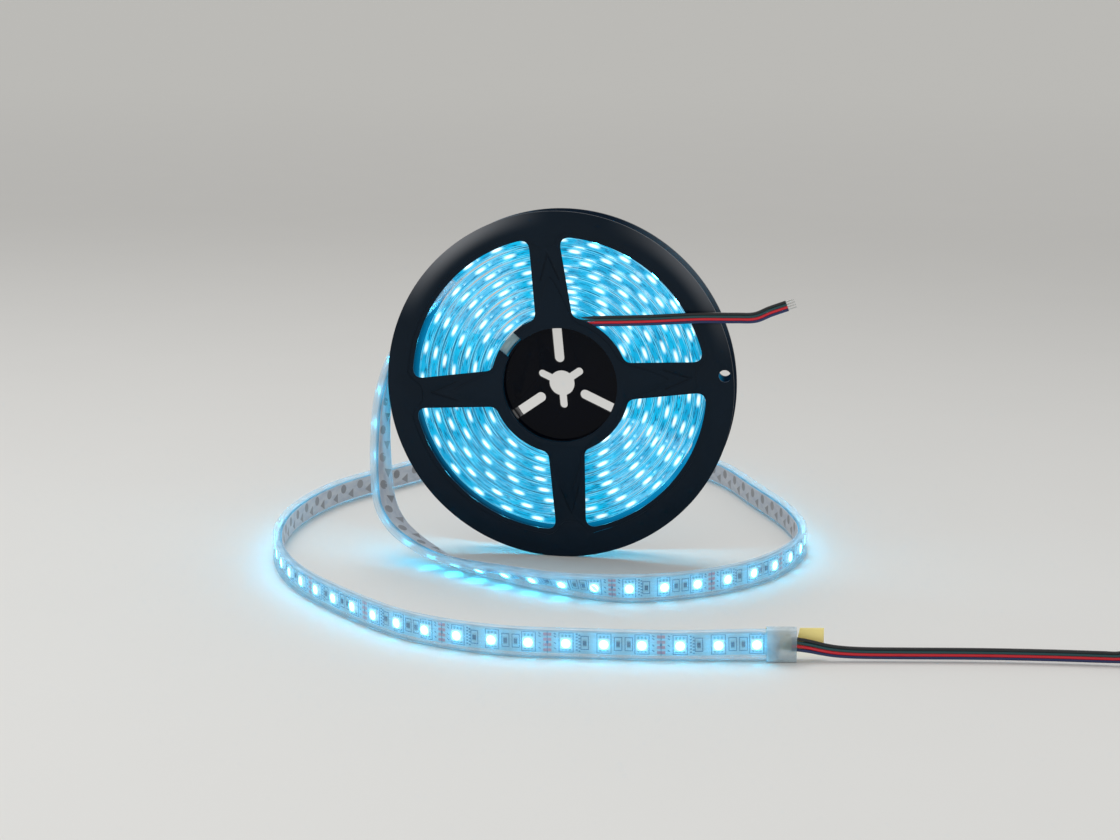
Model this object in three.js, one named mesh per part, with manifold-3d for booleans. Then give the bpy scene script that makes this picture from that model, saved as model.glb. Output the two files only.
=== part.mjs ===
// An LED strip light reel: a moulded seven-inch reel that stands on its rim, wound with an RGB strip in a
// clear silicone sleeve. The strip's outer end runs down to the floor, once round the reel and along its
// front to an end cap with a four-core lead. The strip's inner end has a lead of its own.
// Millimetres, +Z up. The origin is on the floor under the middle of the reel, whose axis lies along Y,
// and the front of the reel faces -Y.
import * as THREE from 'three';
import { mergeVertices } from 'three/addons/utils/BufferGeometryUtils.js';
import Module from 'manifold-3d';

const wasm = await Module();
wasm.setup();

const DEGREE = Math.PI / 180;
const CLEARANCE = 0.3;

// Strip, across its width and through its thickness
const SLEEVE_WIDTH = 13.4;
const SLEEVE_THICKNESS = 4.5;
const SLEEVE_CORNER = 1.2;
const SLEEVE_FLOOR = 0.9;
const BOARD_WIDTH = 10;
const BOARD_THICKNESS = 0.35;
const LED_SIZE = 5;
const LED_HEIGHT = 1.6;
const LED_PITCH = 50 / 3;
const LED_SEAT = 0.1;
const LINER_WIDTH = 10;
const LINER_THICKNESS = 0.3;
const LINER_START = 32;

// Reel
const REEL_RADIUS = 89;
const RIM_FACETS = 72;
const FLANGE_THICKNESS = 1.4;
const FRAME_DEPTH = 0.35;
const FRAME_WIDTH = 2.5;
const WINDOW_RADIUS = 74.5;
const SPOKE_COUNT = 4;
const SPOKE_TURN = 5 * DEGREE;
// How far the rear flange's spokes lag behind the front's, clockwise from the front
const REAR_SPOKE_LAG = 21 * DEGREE;
const SPOKE_RIM_WIDTH = 16;
const SPOKE_COLLAR_WIDTH = 18.6;
const WINDOW_CORNER = 6;
const COLLAR_WIDTH = 6.1;
const NOTCH_ANGLE = 141.5 * DEGREE;
const NOTCH_WIDTH = 11.5;
const RIM_HOLE_RADIUS = 3.2;
const RIM_HOLE_INSET = 5.4;
const GROOVE_WIDTH = 0.9;
const GROOVE_DEPTH = 0.3;
const GROOVE_LENGTH = 11;
const GROOVE_LEAN = 24 * DEGREE;
const GROOVE_RADII = [51, 63];

// Hub
const HUB_RADIUS = 30;
const HUB_WALL = 1.2;
const HUB_FACETS = 48;
const WEB_THICKNESS = 1.6;
const WEB_SETBACK = 5.8;
const ARBOR_RADIUS = 6.5;
const KEY_WIDTH = 3.9;
const KEY_REACH = 12.9;
const KEY_COUNT = 3;
const SLOT_WIDTH = 5;
const SLOT_START = 10.6;
const SLOT_BITE = 0.6;

// Wound roll
const TURN_COUNT = 8;
const TURN_GAP = 0.6;
const TURN_STEPS = 24;
const ROLL_LEAN = 2;
const ROLL_START = 125 * DEGREE;
const ROLL_EXIT = 135 * DEGREE;

// Caps on the strip's ends
const CAP_LENGTH = 13;
const CAP_WALL = 0.5;
const CAP_POCKET = 5.2;
const INNER_CAP_SWEEP = 21 * DEGREE;
const CAP_SHRINK = 0.1;
const SOLDER_TAIL = 5.6;
const TAB_LENGTH = 36;
const TAB_RISE = 1.4;

// Leads
const CORE_DIAMETER = 1;
const CORE_SIDES = 8;
const CORE_NAMES = ['black', 'green', 'red', 'blue'];
const TIP_LENGTH = 4;
const TIP_DIAMETER = 0.6;
const CONTACT_PITCH = 2.54;
const HOUSING_LENGTH = 14;
const HOUSING_THICKNESS = 2.6;
const CHANNEL_SIZE = 1.7;
const CONTACT_LENGTH = 8;
const CONTACT_INSET = 2;
const CORE_ENTRY = 2.4;

const AXIS_HEIGHT = REEL_RADIUS;
const FLANGE_GAP = SLEEVE_WIDTH + 2 * CLEARANCE;
const REEL_DEPTH = FLANGE_GAP + 2 * FLANGE_THICKNESS;
const HUB_BORE = HUB_RADIUS - HUB_WALL;
const COLLAR_BORE = HUB_BORE + 0.4;
const COLLAR_RADIUS = COLLAR_BORE + COLLAR_WIDTH;
const ROLL_BORE = (HUB_RADIUS + CLEARANCE) / Math.cos(Math.PI / TURN_STEPS);
const TURN_PITCH = SLEEVE_THICKNESS + TURN_GAP;
const EDGE_HEIGHT = SLEEVE_WIDTH / 2 + 0.1;
const CAP_HEIGHT = (SLEEVE_WIDTH + 2 * CLEARANCE + 2 * CAP_WALL) / 2 + 0.05;

// The free strip's route, from the roll down to the floor: x, y, z of its middle, then the direction
// across its width, which turns from along the reel's axis to straight down.
const FALL_ROUTE = [
  [-67.0, 0, 127.6, 0, 1, 0],
  [-79.5, 0, 113.2, 0, 1, 0],
  [-89.4, 0, 96.6, 0, 1, 0],
  [-92.9, -1.0, 84.8, 0.09, 1, 0],
  [-94.2, -4.0, 72, 0.22, 0.97, 0],
  [-93.7, -9.0, 48, 0.38, 0.92, -0.02],
  [-89.8, -17.0, 27, 0.48, 0.86, -0.08],
  [-84.3, -22.3, 19.2, 0.52, 0.83, -0.15],
  [-77.2, -27.6, 14.0, 0.54, 0.8, -0.2],
  [-62.5, -36.6, 7.9, 0.56, 0.76, -0.3],
  [-47.5, -46.3, 5.2, 0.48, 0.76, -0.44],
  [-18.0, -63.0, 6.1, 0.35, 0.68, -0.65],
  [14.6, -76.6, 6.7, 0.15, 0.56, -0.82],
];
// Then on edge along the floor, round the back of the reel and along its front: x, y of its middle.
const FLOOR_ROUTE = [
  [45.7, -79.1], [76.0, -67.0], [99.4, -46.6], [115.0, -18.6], [121.0, 16.0], [112.0, 54.0],
  [88.2, 104.0], [60.6, 153.6], [22.4, 185.4], [-22.0, 194.4], [-64.6, 181.2], [-95.4, 152.4],
  [-116.5, 119.0], [-142.6, 70.0], [-150.4, 18.0], [-142.4, -34.6], [-117.5, -84.0], [-76.0, -126.6],
  [-40.0, -152.2], [0.0, -163.6], [40.0, -162.2], [80.0, -158.2],
];
const CAP_ROUTE = [[112.0, -153.4], [131.6, -150.3]];

// The outer lead's route from the end cap to its connector: x, y, z of the middle core, then the spacing.
const OUTER_LEAD_ROUTE = [
  [137.5, -147.6, 6.4, 2.1], [142.5, -147.4, 5.0, 1.7], [148.0, -147.1, 3.8, 1.4], [157.0, -146.3, 3.1, 1.3],
  [180.0, -142.8, 3.0, 1.3], [199.0, -139.9, 3.0, 1.3], [218.0, -137.4, 3.0, 1.3], [242.0, -135.0, 3.0, 1.3],
  [262.0, -133.6, 3.1, 1.3], [267.5, -133.3, 3.7, 1.6], [272.5, -133.1, 5.0, 2.4],
];
const HOUSING_START = [278.0, -133.0];
const OUTER_LEAD_SPACING = 2.3;

// The inner lead's route from behind the collar, through a window and across the front of the rim:
// x, y, z of the middle, then the direction in which the cores are stacked.
const INNER_LEAD_ROUTE = [
  [-3.0, -2.5, 121.4, 0, 1, 0], [2.0, -3.9, 121.6, 0, 0.75, 0.66], [8.0, -5.6, 121.5, 0, 0.1, 1],
  [14.0, -6.2, 121.5, 0, 0, 1], [20.0, -6.4, 121.9, 0, 0, 1], [32.0, -7.6, 122.6, 0, 0, 1],
  [46.0, -8.6, 123.5, 0, 0, 1], [60.0, -9.5, 124.7, 0, 0, 1], [72.0, -9.8, 125.5, 0, 0, 1],
  [88.2, -10.0, 125.9, 0, 0, 1], [98.0, -10.4, 126.5, 0, 0, 1], [105.3, -10.9, 129.7, -0.2, 0, 1],
  [113.4, -11.5, 132.8, -0.2, 0, 1],
];
const INNER_LEAD_SPACING = 1.3;
const INNER_LEAD_SETBACK = 2.2;

const COLOURS = {
  reel: new THREE.Color(0.1, 0.13, 0.16),
  sleeve: new THREE.Color(0.55, 0.82, 0.92),
  board: new THREE.Color(0.92, 0.93, 0.92),
  liner: new THREE.Color(0.85, 0.86, 0.88),
  tab: new THREE.Color(0.95, 0.86, 0.3),
  cap: new THREE.Color(0.82, 0.86, 0.87),
  black: new THREE.Color(0.03, 0.03, 0.035),
  green: new THREE.Color(0.02, 0.2, 0.16),
  red: new THREE.Color(0.75, 0.07, 0.12),
  blue: new THREE.Color(0.06, 0.15, 0.42),
  tinned: new THREE.Color(0.78, 0.78, 0.76),
  gold: new THREE.Color(0.85, 0.66, 0.3),
};

const part = new THREE.Group();
part.name = 'led_strip_light_reel';

function addPiece(name, geometry, colour, roughness, metalness = 0) {
  const material = new THREE.MeshStandardMaterial({ color: colour, roughness, metalness });
  const mesh = new THREE.Mesh(geometry, material);
  mesh.name = name;
  part.add(mesh);
  return mesh;
}

// Solids for joins and cuts
function toSolid(geometry) {
  const bare = geometry.clone();
  bare.deleteAttribute('normal');
  bare.deleteAttribute('uv');
  const merged = mergeVertices(bare, 1e-4);
  return new wasm.Manifold(new wasm.Mesh({
    numProp: 3,
    vertProperties: new Float32Array(merged.attributes.position.array),
    triVerts: new Uint32Array(merged.index.array),
  }));
}

function toGeometry(solid) {
  const mesh = solid.getMesh();
  const points = new Float32Array(mesh.numVert * 3);
  for (let i = 0; i < mesh.numVert; i += 1) {
    for (let axis = 0; axis < 3; axis += 1) {
      points[3 * i + axis] = mesh.vertProperties[i * mesh.numProp + axis];
    }
  }
  const geometry = new THREE.BufferGeometry();
  geometry.setAttribute('position', new THREE.BufferAttribute(points, 3));
  geometry.setIndex(new THREE.BufferAttribute(new Uint32Array(mesh.triVerts), 1));
  return geometry;
}

// Outlines in the reel's plane, with x to the right and y up from the reel's axis
function polar(radius, angle) {
  return new THREE.Vector2(radius * Math.cos(angle), radius * Math.sin(angle));
}

function arcPoints(radius, from, to, steps) {
  const points = [];
  for (let i = 0; i <= steps; i += 1) {
    points.push(polar(radius, from + (to - from) * i / steps));
  }
  return points;
}

// A ring of facets whose flats lie at the given radius, with one flat straight below the axis
function facetRing(radius, facets) {
  const points = [];
  for (let i = 0; i < facets; i += 1) {
    points.push(polar(radius / Math.cos(Math.PI / facets), (i + 0.5) * 2 * Math.PI / facets - Math.PI / 2));
  }
  return points;
}

function roundCorner(before, corner, after, radius, steps) {
  const start = corner.clone().add(before.clone().sub(corner).setLength(radius));
  const end = corner.clone().add(after.clone().sub(corner).setLength(radius));
  return new THREE.QuadraticBezierCurve(start, corner, end).getPoints(steps);
}

// A slot with round ends, from one point to another
function slotOutline(from, to, width, steps = 6) {
  const heading = Math.atan2(to.y - from.y, to.x - from.x);
  const points = [];
  for (const [centre, start] of [[to, heading - Math.PI / 2], [from, heading + Math.PI / 2]]) {
    for (const offset of arcPoints(width / 2, start, start + Math.PI, steps)) {
      points.push(centre.clone().add(offset));
    }
  }
  return points;
}

// A flat piece in the reel's plane, from one depth to another along Y
function plate(outline, holes, fromY, toY) {
  const shape = new THREE.Shape(outline);
  for (const hole of holes) {
    shape.holes.push(new THREE.Path(hole));
  }
  const geometry = new THREE.ExtrudeGeometry(shape, { depth: toY - fromY, bevelEnabled: false });
  geometry.rotateX(Math.PI / 2);
  geometry.translate(0, toY, AXIS_HEIGHT);
  return toSolid(geometry);
}

// A window between two spokes, grown on every side by the frame's width where that is asked for
function windowOutline(index, grow, spokeTurn) {
  const outer = WINDOW_RADIUS + grow;
  const inner = COLLAR_RADIUS - grow;
  const turn = spokeTurn + index * 2 * Math.PI / SPOKE_COUNT;
  const next = turn + 2 * Math.PI / SPOKE_COUNT;
  const rimEdge = Math.asin((SPOKE_RIM_WIDTH / 2 - grow) / outer);
  const collarEdge = Math.asin((SPOKE_COLLAR_WIDTH / 2 - grow) / inner);
  const corner = WINDOW_CORNER + grow;
  const outerTurn = corner / outer;
  const innerTurn = corner * 0.55 / inner;
  const rimStart = polar(outer, turn + rimEdge);
  const rimEnd = polar(outer, next - rimEdge);
  const collarStart = polar(inner, turn + collarEdge);
  const collarEnd = polar(inner, next - collarEdge);
  const rimArc = arcPoints(outer, turn + rimEdge + outerTurn, next - rimEdge - outerTurn, 10);
  const collarArc = arcPoints(inner, next - collarEdge - innerTurn, turn + collarEdge + innerTurn, 5);
  return [
    ...rimArc.slice(1, -1),
    ...roundCorner(rimArc[10], rimEnd, collarEnd, corner, 4),
    ...roundCorner(rimEnd, collarEnd, collarArc[0], corner * 0.55, 3),
    ...collarArc.slice(1, -1),
    ...roundCorner(collarArc[5], collarStart, rimStart, corner * 0.55, 3),
    ...roundCorner(collarStart, rimStart, rimArc[0], corner, 4),
  ];
}

// A front flange: a plate with windows, and a thinner frame round each window
function flangeSolid(spokeTurn) {
  const front = -REEL_DEPTH / 2;
  const back = front + FLANGE_THICKNESS;
  const rim = facetRing(REEL_RADIUS, RIM_FACETS);
  const bore = facetRing(COLLAR_BORE, HUB_FACETS);
  const rimHole = arcPoints(RIM_HOLE_RADIUS, 0, 2 * Math.PI, 16).slice(1);
  const rimHoleCentre = polar(REEL_RADIUS - RIM_HOLE_INSET, SPOKE_TURN);
  rimHole.forEach((point) => point.add(rimHoleCentre));
  const windows = [];
  const frames = [];
  for (let i = 0; i < SPOKE_COUNT; i += 1) {
    windows.push(windowOutline(i, 0, spokeTurn));
    frames.push(windowOutline(i, FRAME_WIDTH, spokeTurn));
  }
  let solid = plate(rim, [bore, rimHole, ...windows], front + FRAME_DEPTH, back);
  solid = solid.add(plate(rim, [bore, rimHole, ...frames], front, front + FRAME_DEPTH));
  const notch = slotOutline(polar(COLLAR_BORE - NOTCH_WIDTH, NOTCH_ANGLE),
    polar(COLLAR_RADIUS + NOTCH_WIDTH / 4, NOTCH_ANGLE), NOTCH_WIDTH);
  solid = solid.subtract(plate(notch, [], front - 1, back + 1));
  for (let i = 0; i < SPOKE_COUNT; i += 1) {
    const heading = spokeTurn + i * 2 * Math.PI / SPOKE_COUNT;
    for (const radius of GROOVE_RADII) {
      const apex = polar(radius, heading);
      const legs = [-1, 1].map((side) => apex.clone().sub(polar(GROOVE_LENGTH, heading + side * GROOVE_LEAN)));
      for (const end of legs) {
        const groove = slotOutline(end, apex, GROOVE_WIDTH, 1);
        solid = solid.subtract(plate(groove, [], front - 1, front + GROOVE_DEPTH));
      }
    }
  }
  return solid;
}

function addFlanges() {
  addPiece('front_flange', toGeometry(flangeSolid(SPOKE_TURN)), COLOURS.reel, 0.5);
  // The rear flange is turned over about the line to the rim hole, and its spokes stand behind the windows
  const flipped = toGeometry(flangeSolid(SPOKE_TURN + REAR_SPOKE_LAG));
  const axis = new THREE.Vector3(Math.cos(SPOKE_TURN), 0, Math.sin(SPOKE_TURN));
  flipped.translate(0, 0, -AXIS_HEIGHT);
  flipped.applyMatrix4(new THREE.Matrix4().makeRotationAxis(axis, Math.PI));
  flipped.translate(0, 0, AXIS_HEIGHT);
  addPiece('rear_flange', flipped, COLOURS.reel, 0.5);
}

function addHub() {
  const half = FLANGE_GAP / 2 - CLEARANCE;
  const webFront = -REEL_DEPTH / 2 + WEB_SETBACK;
  const webBack = webFront + WEB_THICKNESS;
  const wall = facetRing(HUB_RADIUS * Math.cos(Math.PI / HUB_FACETS), HUB_FACETS);
  let hub = plate(wall, [facetRing(HUB_BORE, HUB_FACETS)], -half, half);
  hub = hub.add(plate(facetRing(HUB_BORE + HUB_WALL / 3, HUB_FACETS), [], webFront, webBack));
  const cuts = [arcPoints(ARBOR_RADIUS, 0, 2 * Math.PI, 32).slice(1)];
  for (let i = 0; i < KEY_COUNT; i += 1) {
    const key = SPOKE_TURN + Math.PI / 6 + i * 2 * Math.PI / KEY_COUNT;
    cuts.push(slotOutline(new THREE.Vector2(), polar(KEY_REACH - KEY_WIDTH / 2, key), KEY_WIDTH));
    const slot = key + Math.PI;
    const start = polar(SLOT_START + SLOT_WIDTH / 2, slot);
    const side = polar(SLOT_WIDTH / 2, slot + Math.PI / 2);
    const end = polar(HUB_BORE + SLOT_BITE, slot);
    cuts.push([...arcPoints(SLOT_WIDTH / 2, slot + Math.PI / 2, slot + Math.PI * 1.5, 6)
      .map((offset) => offset.add(start)), end.clone().sub(side), end.clone().add(side)]);
  }
  for (const cut of cuts) {
    hub = hub.subtract(plate(cut, [], webFront - 1, webBack + 1));
  }
  addPiece('hub', toGeometry(hub), COLOURS.reel, 0.5);
}

// A place on a strip: its middle, the way its lit face looks, the direction across its width, and onward
function frameAt(point, across, onward) {
  const along = onward.clone().normalize();
  const width = across.clone().addScaledVector(along, -across.dot(along)).normalize();
  return { point, width, lit: new THREE.Vector3().crossVectors(width, along), along };
}

function placeOn(frame, lit, width, along = 0) {
  return frame.point.clone()
    .addScaledVector(frame.lit, lit)
    .addScaledVector(frame.width, width)
    .addScaledVector(frame.along, along);
}

// A rectangle in a strip's section, as [lit, width] corners, with its corners cut back where asked
function section(fromLit, toLit, width, cut = 0, inside = true) {
  const half = width / 2;
  if (cut === 0) {
    return [[toLit, -half], [toLit, half], [fromLit, half], [fromLit, -half]];
  }
  const lit = [[toLit - cut, -half], [toLit, cut - half], [toLit, half - cut], [toLit - cut, half]];
  if (!inside) {
    return [...lit, [fromLit, half], [fromLit, -half]];
  }
  return [...lit, [fromLit + cut, half], [fromLit, half - cut], [fromLit, cut - half], [fromLit + cut, -half]];
}

// A closed body that follows the frames with the given outline, and with a hole through it if there is one
function sweep(frames, outline, hole = []) {
  const loops = [outline, [...hole].reverse()];
  const flat = loops.map((loop) => loop.map(([lit, width]) => new THREE.Vector2(lit, width)));
  const count = outline.length + hole.length;
  const positions = [];
  const triangles = [];
  for (const frame of frames) {
    for (const [lit, width] of loops.flat()) {
      positions.push(...placeOn(frame, lit, width).toArray());
    }
  }
  for (let i = 0; i + 1 < frames.length; i += 1) {
    let first = 0;
    for (const loop of loops) {
      for (let j = 0; j < loop.length; j += 1) {
        const next = (j + 1) % loop.length;
        const a = i * count + first + j;
        const b = i * count + first + next;
        // Both faces of a twisted strip are split the same way, so that nested pieces keep their gap
        if (loop[next][1] > loop[j][1]) {
          triangles.push(a, b, b + count, a, b + count, a + count);
        } else {
          triangles.push(a, b, a + count, b, b + count, a + count);
        }
      }
      first += loop.length;
    }
  }
  const last = (frames.length - 1) * count;
  for (const [a, b, c] of THREE.ShapeUtils.triangulateShape(flat[0], hole.length ? [flat[1]] : [])) {
    triangles.push(c, b, a, last + a, last + b, last + c);
  }
  const geometry = new THREE.BufferGeometry();
  geometry.setAttribute('position', new THREE.Float32BufferAttribute(positions, 3));
  geometry.setIndex(triangles);
  return geometry;
}

// The wound strip: every turn lies on the one before, with its width along the reel's axis. The roll is
// loose, so its outer turns lie a little towards the side where the strip leaves.
const ROLL_SWEEP = TURN_COUNT * 2 * Math.PI + ROLL_EXIT - ROLL_START;

function turnFrame(swept, offset = 0) {
  const angle = ROLL_START + swept;
  const middle = ROLL_BORE + SLEEVE_THICKNESS / 2 + TURN_PITCH * swept / (2 * Math.PI) + offset;
  const lit = new THREE.Vector3(Math.cos(angle), 0, Math.sin(angle));
  const point = lit.clone().multiplyScalar(middle);
  point.x -= ROLL_LEAN * swept / ROLL_SWEEP;
  point.z += AXIS_HEIGHT;
  const across = new THREE.Vector3(0, 1, 0);
  return frameAt(point, across, new THREE.Vector3().crossVectors(lit, across));
}

function rollFrames() {
  const step = 2 * Math.PI / TURN_STEPS;
  const frames = [];
  for (let swept = 0; swept < ROLL_SWEEP - step / 4; swept += step) {
    frames.push(turnFrame(swept));
  }
  frames.push(turnFrame(ROLL_SWEEP));
  return frames;
}

// The inner lead's frames: the cores are stacked across the ribbon's width
function ribbonFrames(points, across, steps) {
  const curve = new THREE.CatmullRomCurve3(points, false, 'centripetal');
  const frames = [];
  for (let i = 0; i <= steps; i += 1) {
    const t = i / steps;
    const place = t * (points.length - 1);
    const index = Math.min(Math.floor(place), points.length - 2);
    const direction = across[index].clone().lerp(across[index + 1], place - index);
    frames.push(frameAt(curve.getPoint(t), direction, curve.getTangent(t)));
  }
  return frames;
}

function innerLeadFrames() {
  const face = turnFrame(-INNER_CAP_SWEEP, -CAP_SHRINK);
  const start = placeOn(face, 0, -INNER_LEAD_SETBACK, -CLEARANCE);
  const points = [start, ...INNER_LEAD_ROUTE.map(([x, y, z]) => new THREE.Vector3(x, y, z))];
  const across = [new THREE.Vector3(0, 1, 0), ...INNER_LEAD_ROUTE.map((row) => new THREE.Vector3(...row.slice(3)))];
  return ribbonFrames(points, across, 3 * (points.length - 1));
}

function addRoll() {
  const half = SLEEVE_THICKNESS / 2;
  const outline = section(-half, half, SLEEVE_WIDTH, SLEEVE_CORNER, false);
  let roll = toSolid(sweep(rollFrames(), outline));
  // The soft sleeve gives way where the inner lead crosses the front of its first turns
  const room = CORE_DIAMETER / 2 + 2.3 * CLEARANCE;
  const stack = INNER_LEAD_SPACING * (CORE_NAMES.length - 1) + 2 * room;
  const crossing = innerLeadFrames().slice(3, 22);
  roll = roll.subtract(toSolid(sweep(crossing, section(-room, room, stack))));
  addPiece('strip_roll', toGeometry(roll), COLOURS.sleeve, 0.35);
}

function addInnerCap() {
  const frames = [];
  const steps = 3;
  const gap = CLEARANCE / ROLL_BORE;
  for (let i = 0; i <= steps; i += 1) {
    frames.push(turnFrame(-INNER_CAP_SWEEP + (INNER_CAP_SWEEP - gap) * i / steps, -CAP_SHRINK));
  }
  const half = SLEEVE_THICKNESS / 2 - CAP_SHRINK;
  addPiece('inner_end_cap', sweep(frames, section(-half, half, SLEEVE_WIDTH)), COLOURS.cap, 0.35);
}

// The free strip's route, and its frames at the given lengths back from the board's end
const FREE_POINTS = [
  turnFrame(ROLL_SWEEP).point,
  ...FALL_ROUTE.map(([x, y, z]) => new THREE.Vector3(x, y, z)),
  ...FLOOR_ROUTE.map(([x, y]) => new THREE.Vector3(x, y, EDGE_HEIGHT)),
  ...CAP_ROUTE.map(([x, y]) => new THREE.Vector3(x, y, CAP_HEIGHT)),
];
const FREE_ACROSS = [
  new THREE.Vector3(0, 1, 0),
  ...FALL_ROUTE.map((row) => new THREE.Vector3(...row.slice(3))),
  ...[...FLOOR_ROUTE, ...CAP_ROUTE].map(() => new THREE.Vector3(0, 0, -1)),
];
const FREE_CURVE = new THREE.CatmullRomCurve3(FREE_POINTS, false, 'centripetal');
FREE_CURVE.arcLengthDivisions = 4000;
const FREE_LENGTH = FREE_CURVE.getLength();
const CAP_FACE = FREE_LENGTH;
const BOARD_END = CAP_FACE - SOLDER_TAIL - CAP_LENGTH / 4;
const SLEEVE_END = CAP_FACE - CAP_LENGTH + CAP_POCKET;
const SLEEVE_ENTRY = CAP_FACE - CAP_LENGTH;

function freeFrame(length) {
  const u = THREE.MathUtils.clamp(length / FREE_LENGTH, 0, 1);
  const t = FREE_CURVE.getUtoTmapping(u);
  const place = t * (FREE_POINTS.length - 1);
  const index = Math.min(Math.floor(place), FREE_POINTS.length - 2);
  const across = FREE_ACROSS[index].clone().lerp(FREE_ACROSS[index + 1], place - index);
  return frameAt(FREE_CURVE.getPoint(t), across, FREE_CURVE.getTangent(t));
}

// Stations lie midway between LEDs, so that every LED sits on a straight stretch, and closer on the fall
const FALL_LENGTH = 330;
const FALL_REACH = LED_PITCH * 0.18;
const LED_PLACES = [];
const STATIONS = [];
for (let length = BOARD_END; length > 0; length -= LED_PITCH) {
  STATIONS.unshift(length);
  if (length > LED_PITCH) {
    const middle = length - LED_PITCH / 2;
    const reach = length < FALL_LENGTH ? FALL_REACH : LED_PITCH / 2;
    LED_PLACES.push({ before: middle - reach, after: middle + reach });
    if (length < FALL_LENGTH) {
      STATIONS.unshift(middle + reach);
      STATIONS.unshift(middle - reach);
    }
  }
}

function stationsBetween(from, to) {
  const margin = 1.5;
  const inner = STATIONS.filter((length) => length > from + margin && length < to - margin);
  return [from, ...inner, to].map(freeFrame);
}

const BOARD_BACK = -SLEEVE_THICKNESS / 2 + SLEEVE_FLOOR + CLEARANCE;
const BOARD_FRONT = BOARD_BACK + BOARD_THICKNESS;
const LED_FRONT = BOARD_FRONT + LED_HEIGHT;
const CAVITY_BACK = BOARD_BACK - CLEARANCE;
const CAVITY_FRONT = LED_FRONT + CLEARANCE;

function addFreeSleeve() {
  const half = SLEEVE_THICKNESS / 2;
  const outline = section(-half, half, SLEEVE_WIDTH, SLEEVE_CORNER);
  const cavity = section(CAVITY_BACK, CAVITY_FRONT, BOARD_WIDTH + 2 * CLEARANCE);
  const frames = stationsBetween(CLEARANCE, SLEEVE_END);
  addPiece('free_sleeve', sweep(frames, outline, cavity), COLOURS.sleeve, 0.3);
}

// A block on the strip's board, by its middle along the strip and its corners across it
function blockOn(frame, fromLit, toLit, width, length) {
  const ends = [-length / 2, length / 2].map((along) => ({ ...frame, point: placeOn(frame, 0, 0, along) }));
  return sweep(ends, section(fromLit, toLit, width));
}

function addFreeCircuit() {
  const frames = stationsBetween(2 * CLEARANCE, SLEEVE_END - CLEARANCE);
  let circuit = toSolid(sweep(frames, section(BOARD_BACK, BOARD_FRONT, BOARD_WIDTH)));
  for (const place of LED_PLACES) {
    const before = freeFrame(place.before);
    const after = freeFrame(place.after);
    const middle = before.point.clone().lerp(after.point, 0.5);
    const frame = frameAt(middle, before.width.clone().add(after.width), after.point.clone().sub(before.point));
    circuit = circuit.add(toSolid(blockOn(frame, BOARD_FRONT - LED_SEAT, LED_FRONT, LED_SIZE, LED_SIZE)));
  }
  addPiece('free_circuit', toGeometry(circuit), COLOURS.board, 0.5);
}

const LINER_FRONT = -SLEEVE_THICKNESS / 2 - CLEARANCE;

function addLiner() {
  const frames = stationsBetween(LINER_START, SLEEVE_ENTRY - CLEARANCE - TAB_RISE);
  addPiece('tape_liner', sweep(frames, section(LINER_FRONT - LINER_THICKNESS, LINER_FRONT, LINER_WIDTH)),
    COLOURS.liner, 0.6);
  // The liner's pull tab leaves the back of the strip, passes behind the cap and stands out past it
  const behindCap = -SLEEVE_THICKNESS / 2 - CAP_WALL - 2 * CLEARANCE;
  const tab = [];
  const reach = CAP_LENGTH + TAB_LENGTH / 4;
  const base = freeFrame(SLEEVE_ENTRY);
  for (const along of [0, 0.3, 0.65, 1]) {
    tab.push({ ...base, point: placeOn(base, behindCap, -TAB_RISE, along * reach - CLEARANCE) });
  }
  addPiece('liner_tab', sweep(tab, section(-LINER_THICKNESS, 0, LINER_WIDTH)), COLOURS.tab, 0.5);
}

const CAP_THICKNESS = SLEEVE_THICKNESS + 2 * CLEARANCE + 2 * CAP_WALL;
const CAP_WIDTH = SLEEVE_WIDTH + 2 * CLEARANCE + 2 * CAP_WALL;

function addOuterCap() {
  const face = freeFrame(CAP_FACE);
  const entry = freeFrame(SLEEVE_ENTRY);
  const half = CAP_THICKNESS / 2;
  let cap = toSolid(sweep([entry, face], section(-half, half, CAP_WIDTH, SLEEVE_CORNER)));
  const pocketHalf = half - CAP_WALL;
  const mouth = { ...entry, point: placeOn(entry, 0, 0, -1) };
  const floor = { ...entry, point: placeOn(entry, 0, 0, CAP_POCKET + CLEARANCE) };
  cap = cap.subtract(toSolid(sweep([mouth, floor],
    section(-pocketHalf, pocketHalf, SLEEVE_WIDTH + 2 * CLEARANCE, SLEEVE_CORNER / 2))));
  addPiece('outer_end_cap', toGeometry(cap), COLOURS.cap, 0.35);
}

// A core of a lead, as a round-sided tube through the given points
function coreTube(points, diameter, steps) {
  const shape = new THREE.Shape();
  for (let i = 0; i < CORE_SIDES; i += 1) {
    const corner = polar(diameter / 2, (i + 0.5) * 2 * Math.PI / CORE_SIDES);
    if (i === 0) {
      shape.moveTo(corner.x, corner.y);
    } else {
      shape.lineTo(corner.x, corner.y);
    }
  }
  const path = new THREE.CatmullRomCurve3(points, false, 'centripetal');
  return new THREE.ExtrudeGeometry(shape, { steps, extrudePath: path, bevelEnabled: false });
}

const CORE_PLACES = CORE_NAMES.map((name, index) => (CORE_NAMES.length - 1) / 2 - index);
const HOUSING_WIDTH = CONTACT_PITCH * CORE_NAMES.length + 0.3;
const HOUSING_HEIGHT = HOUSING_WIDTH / 2 + 0.1;

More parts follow.
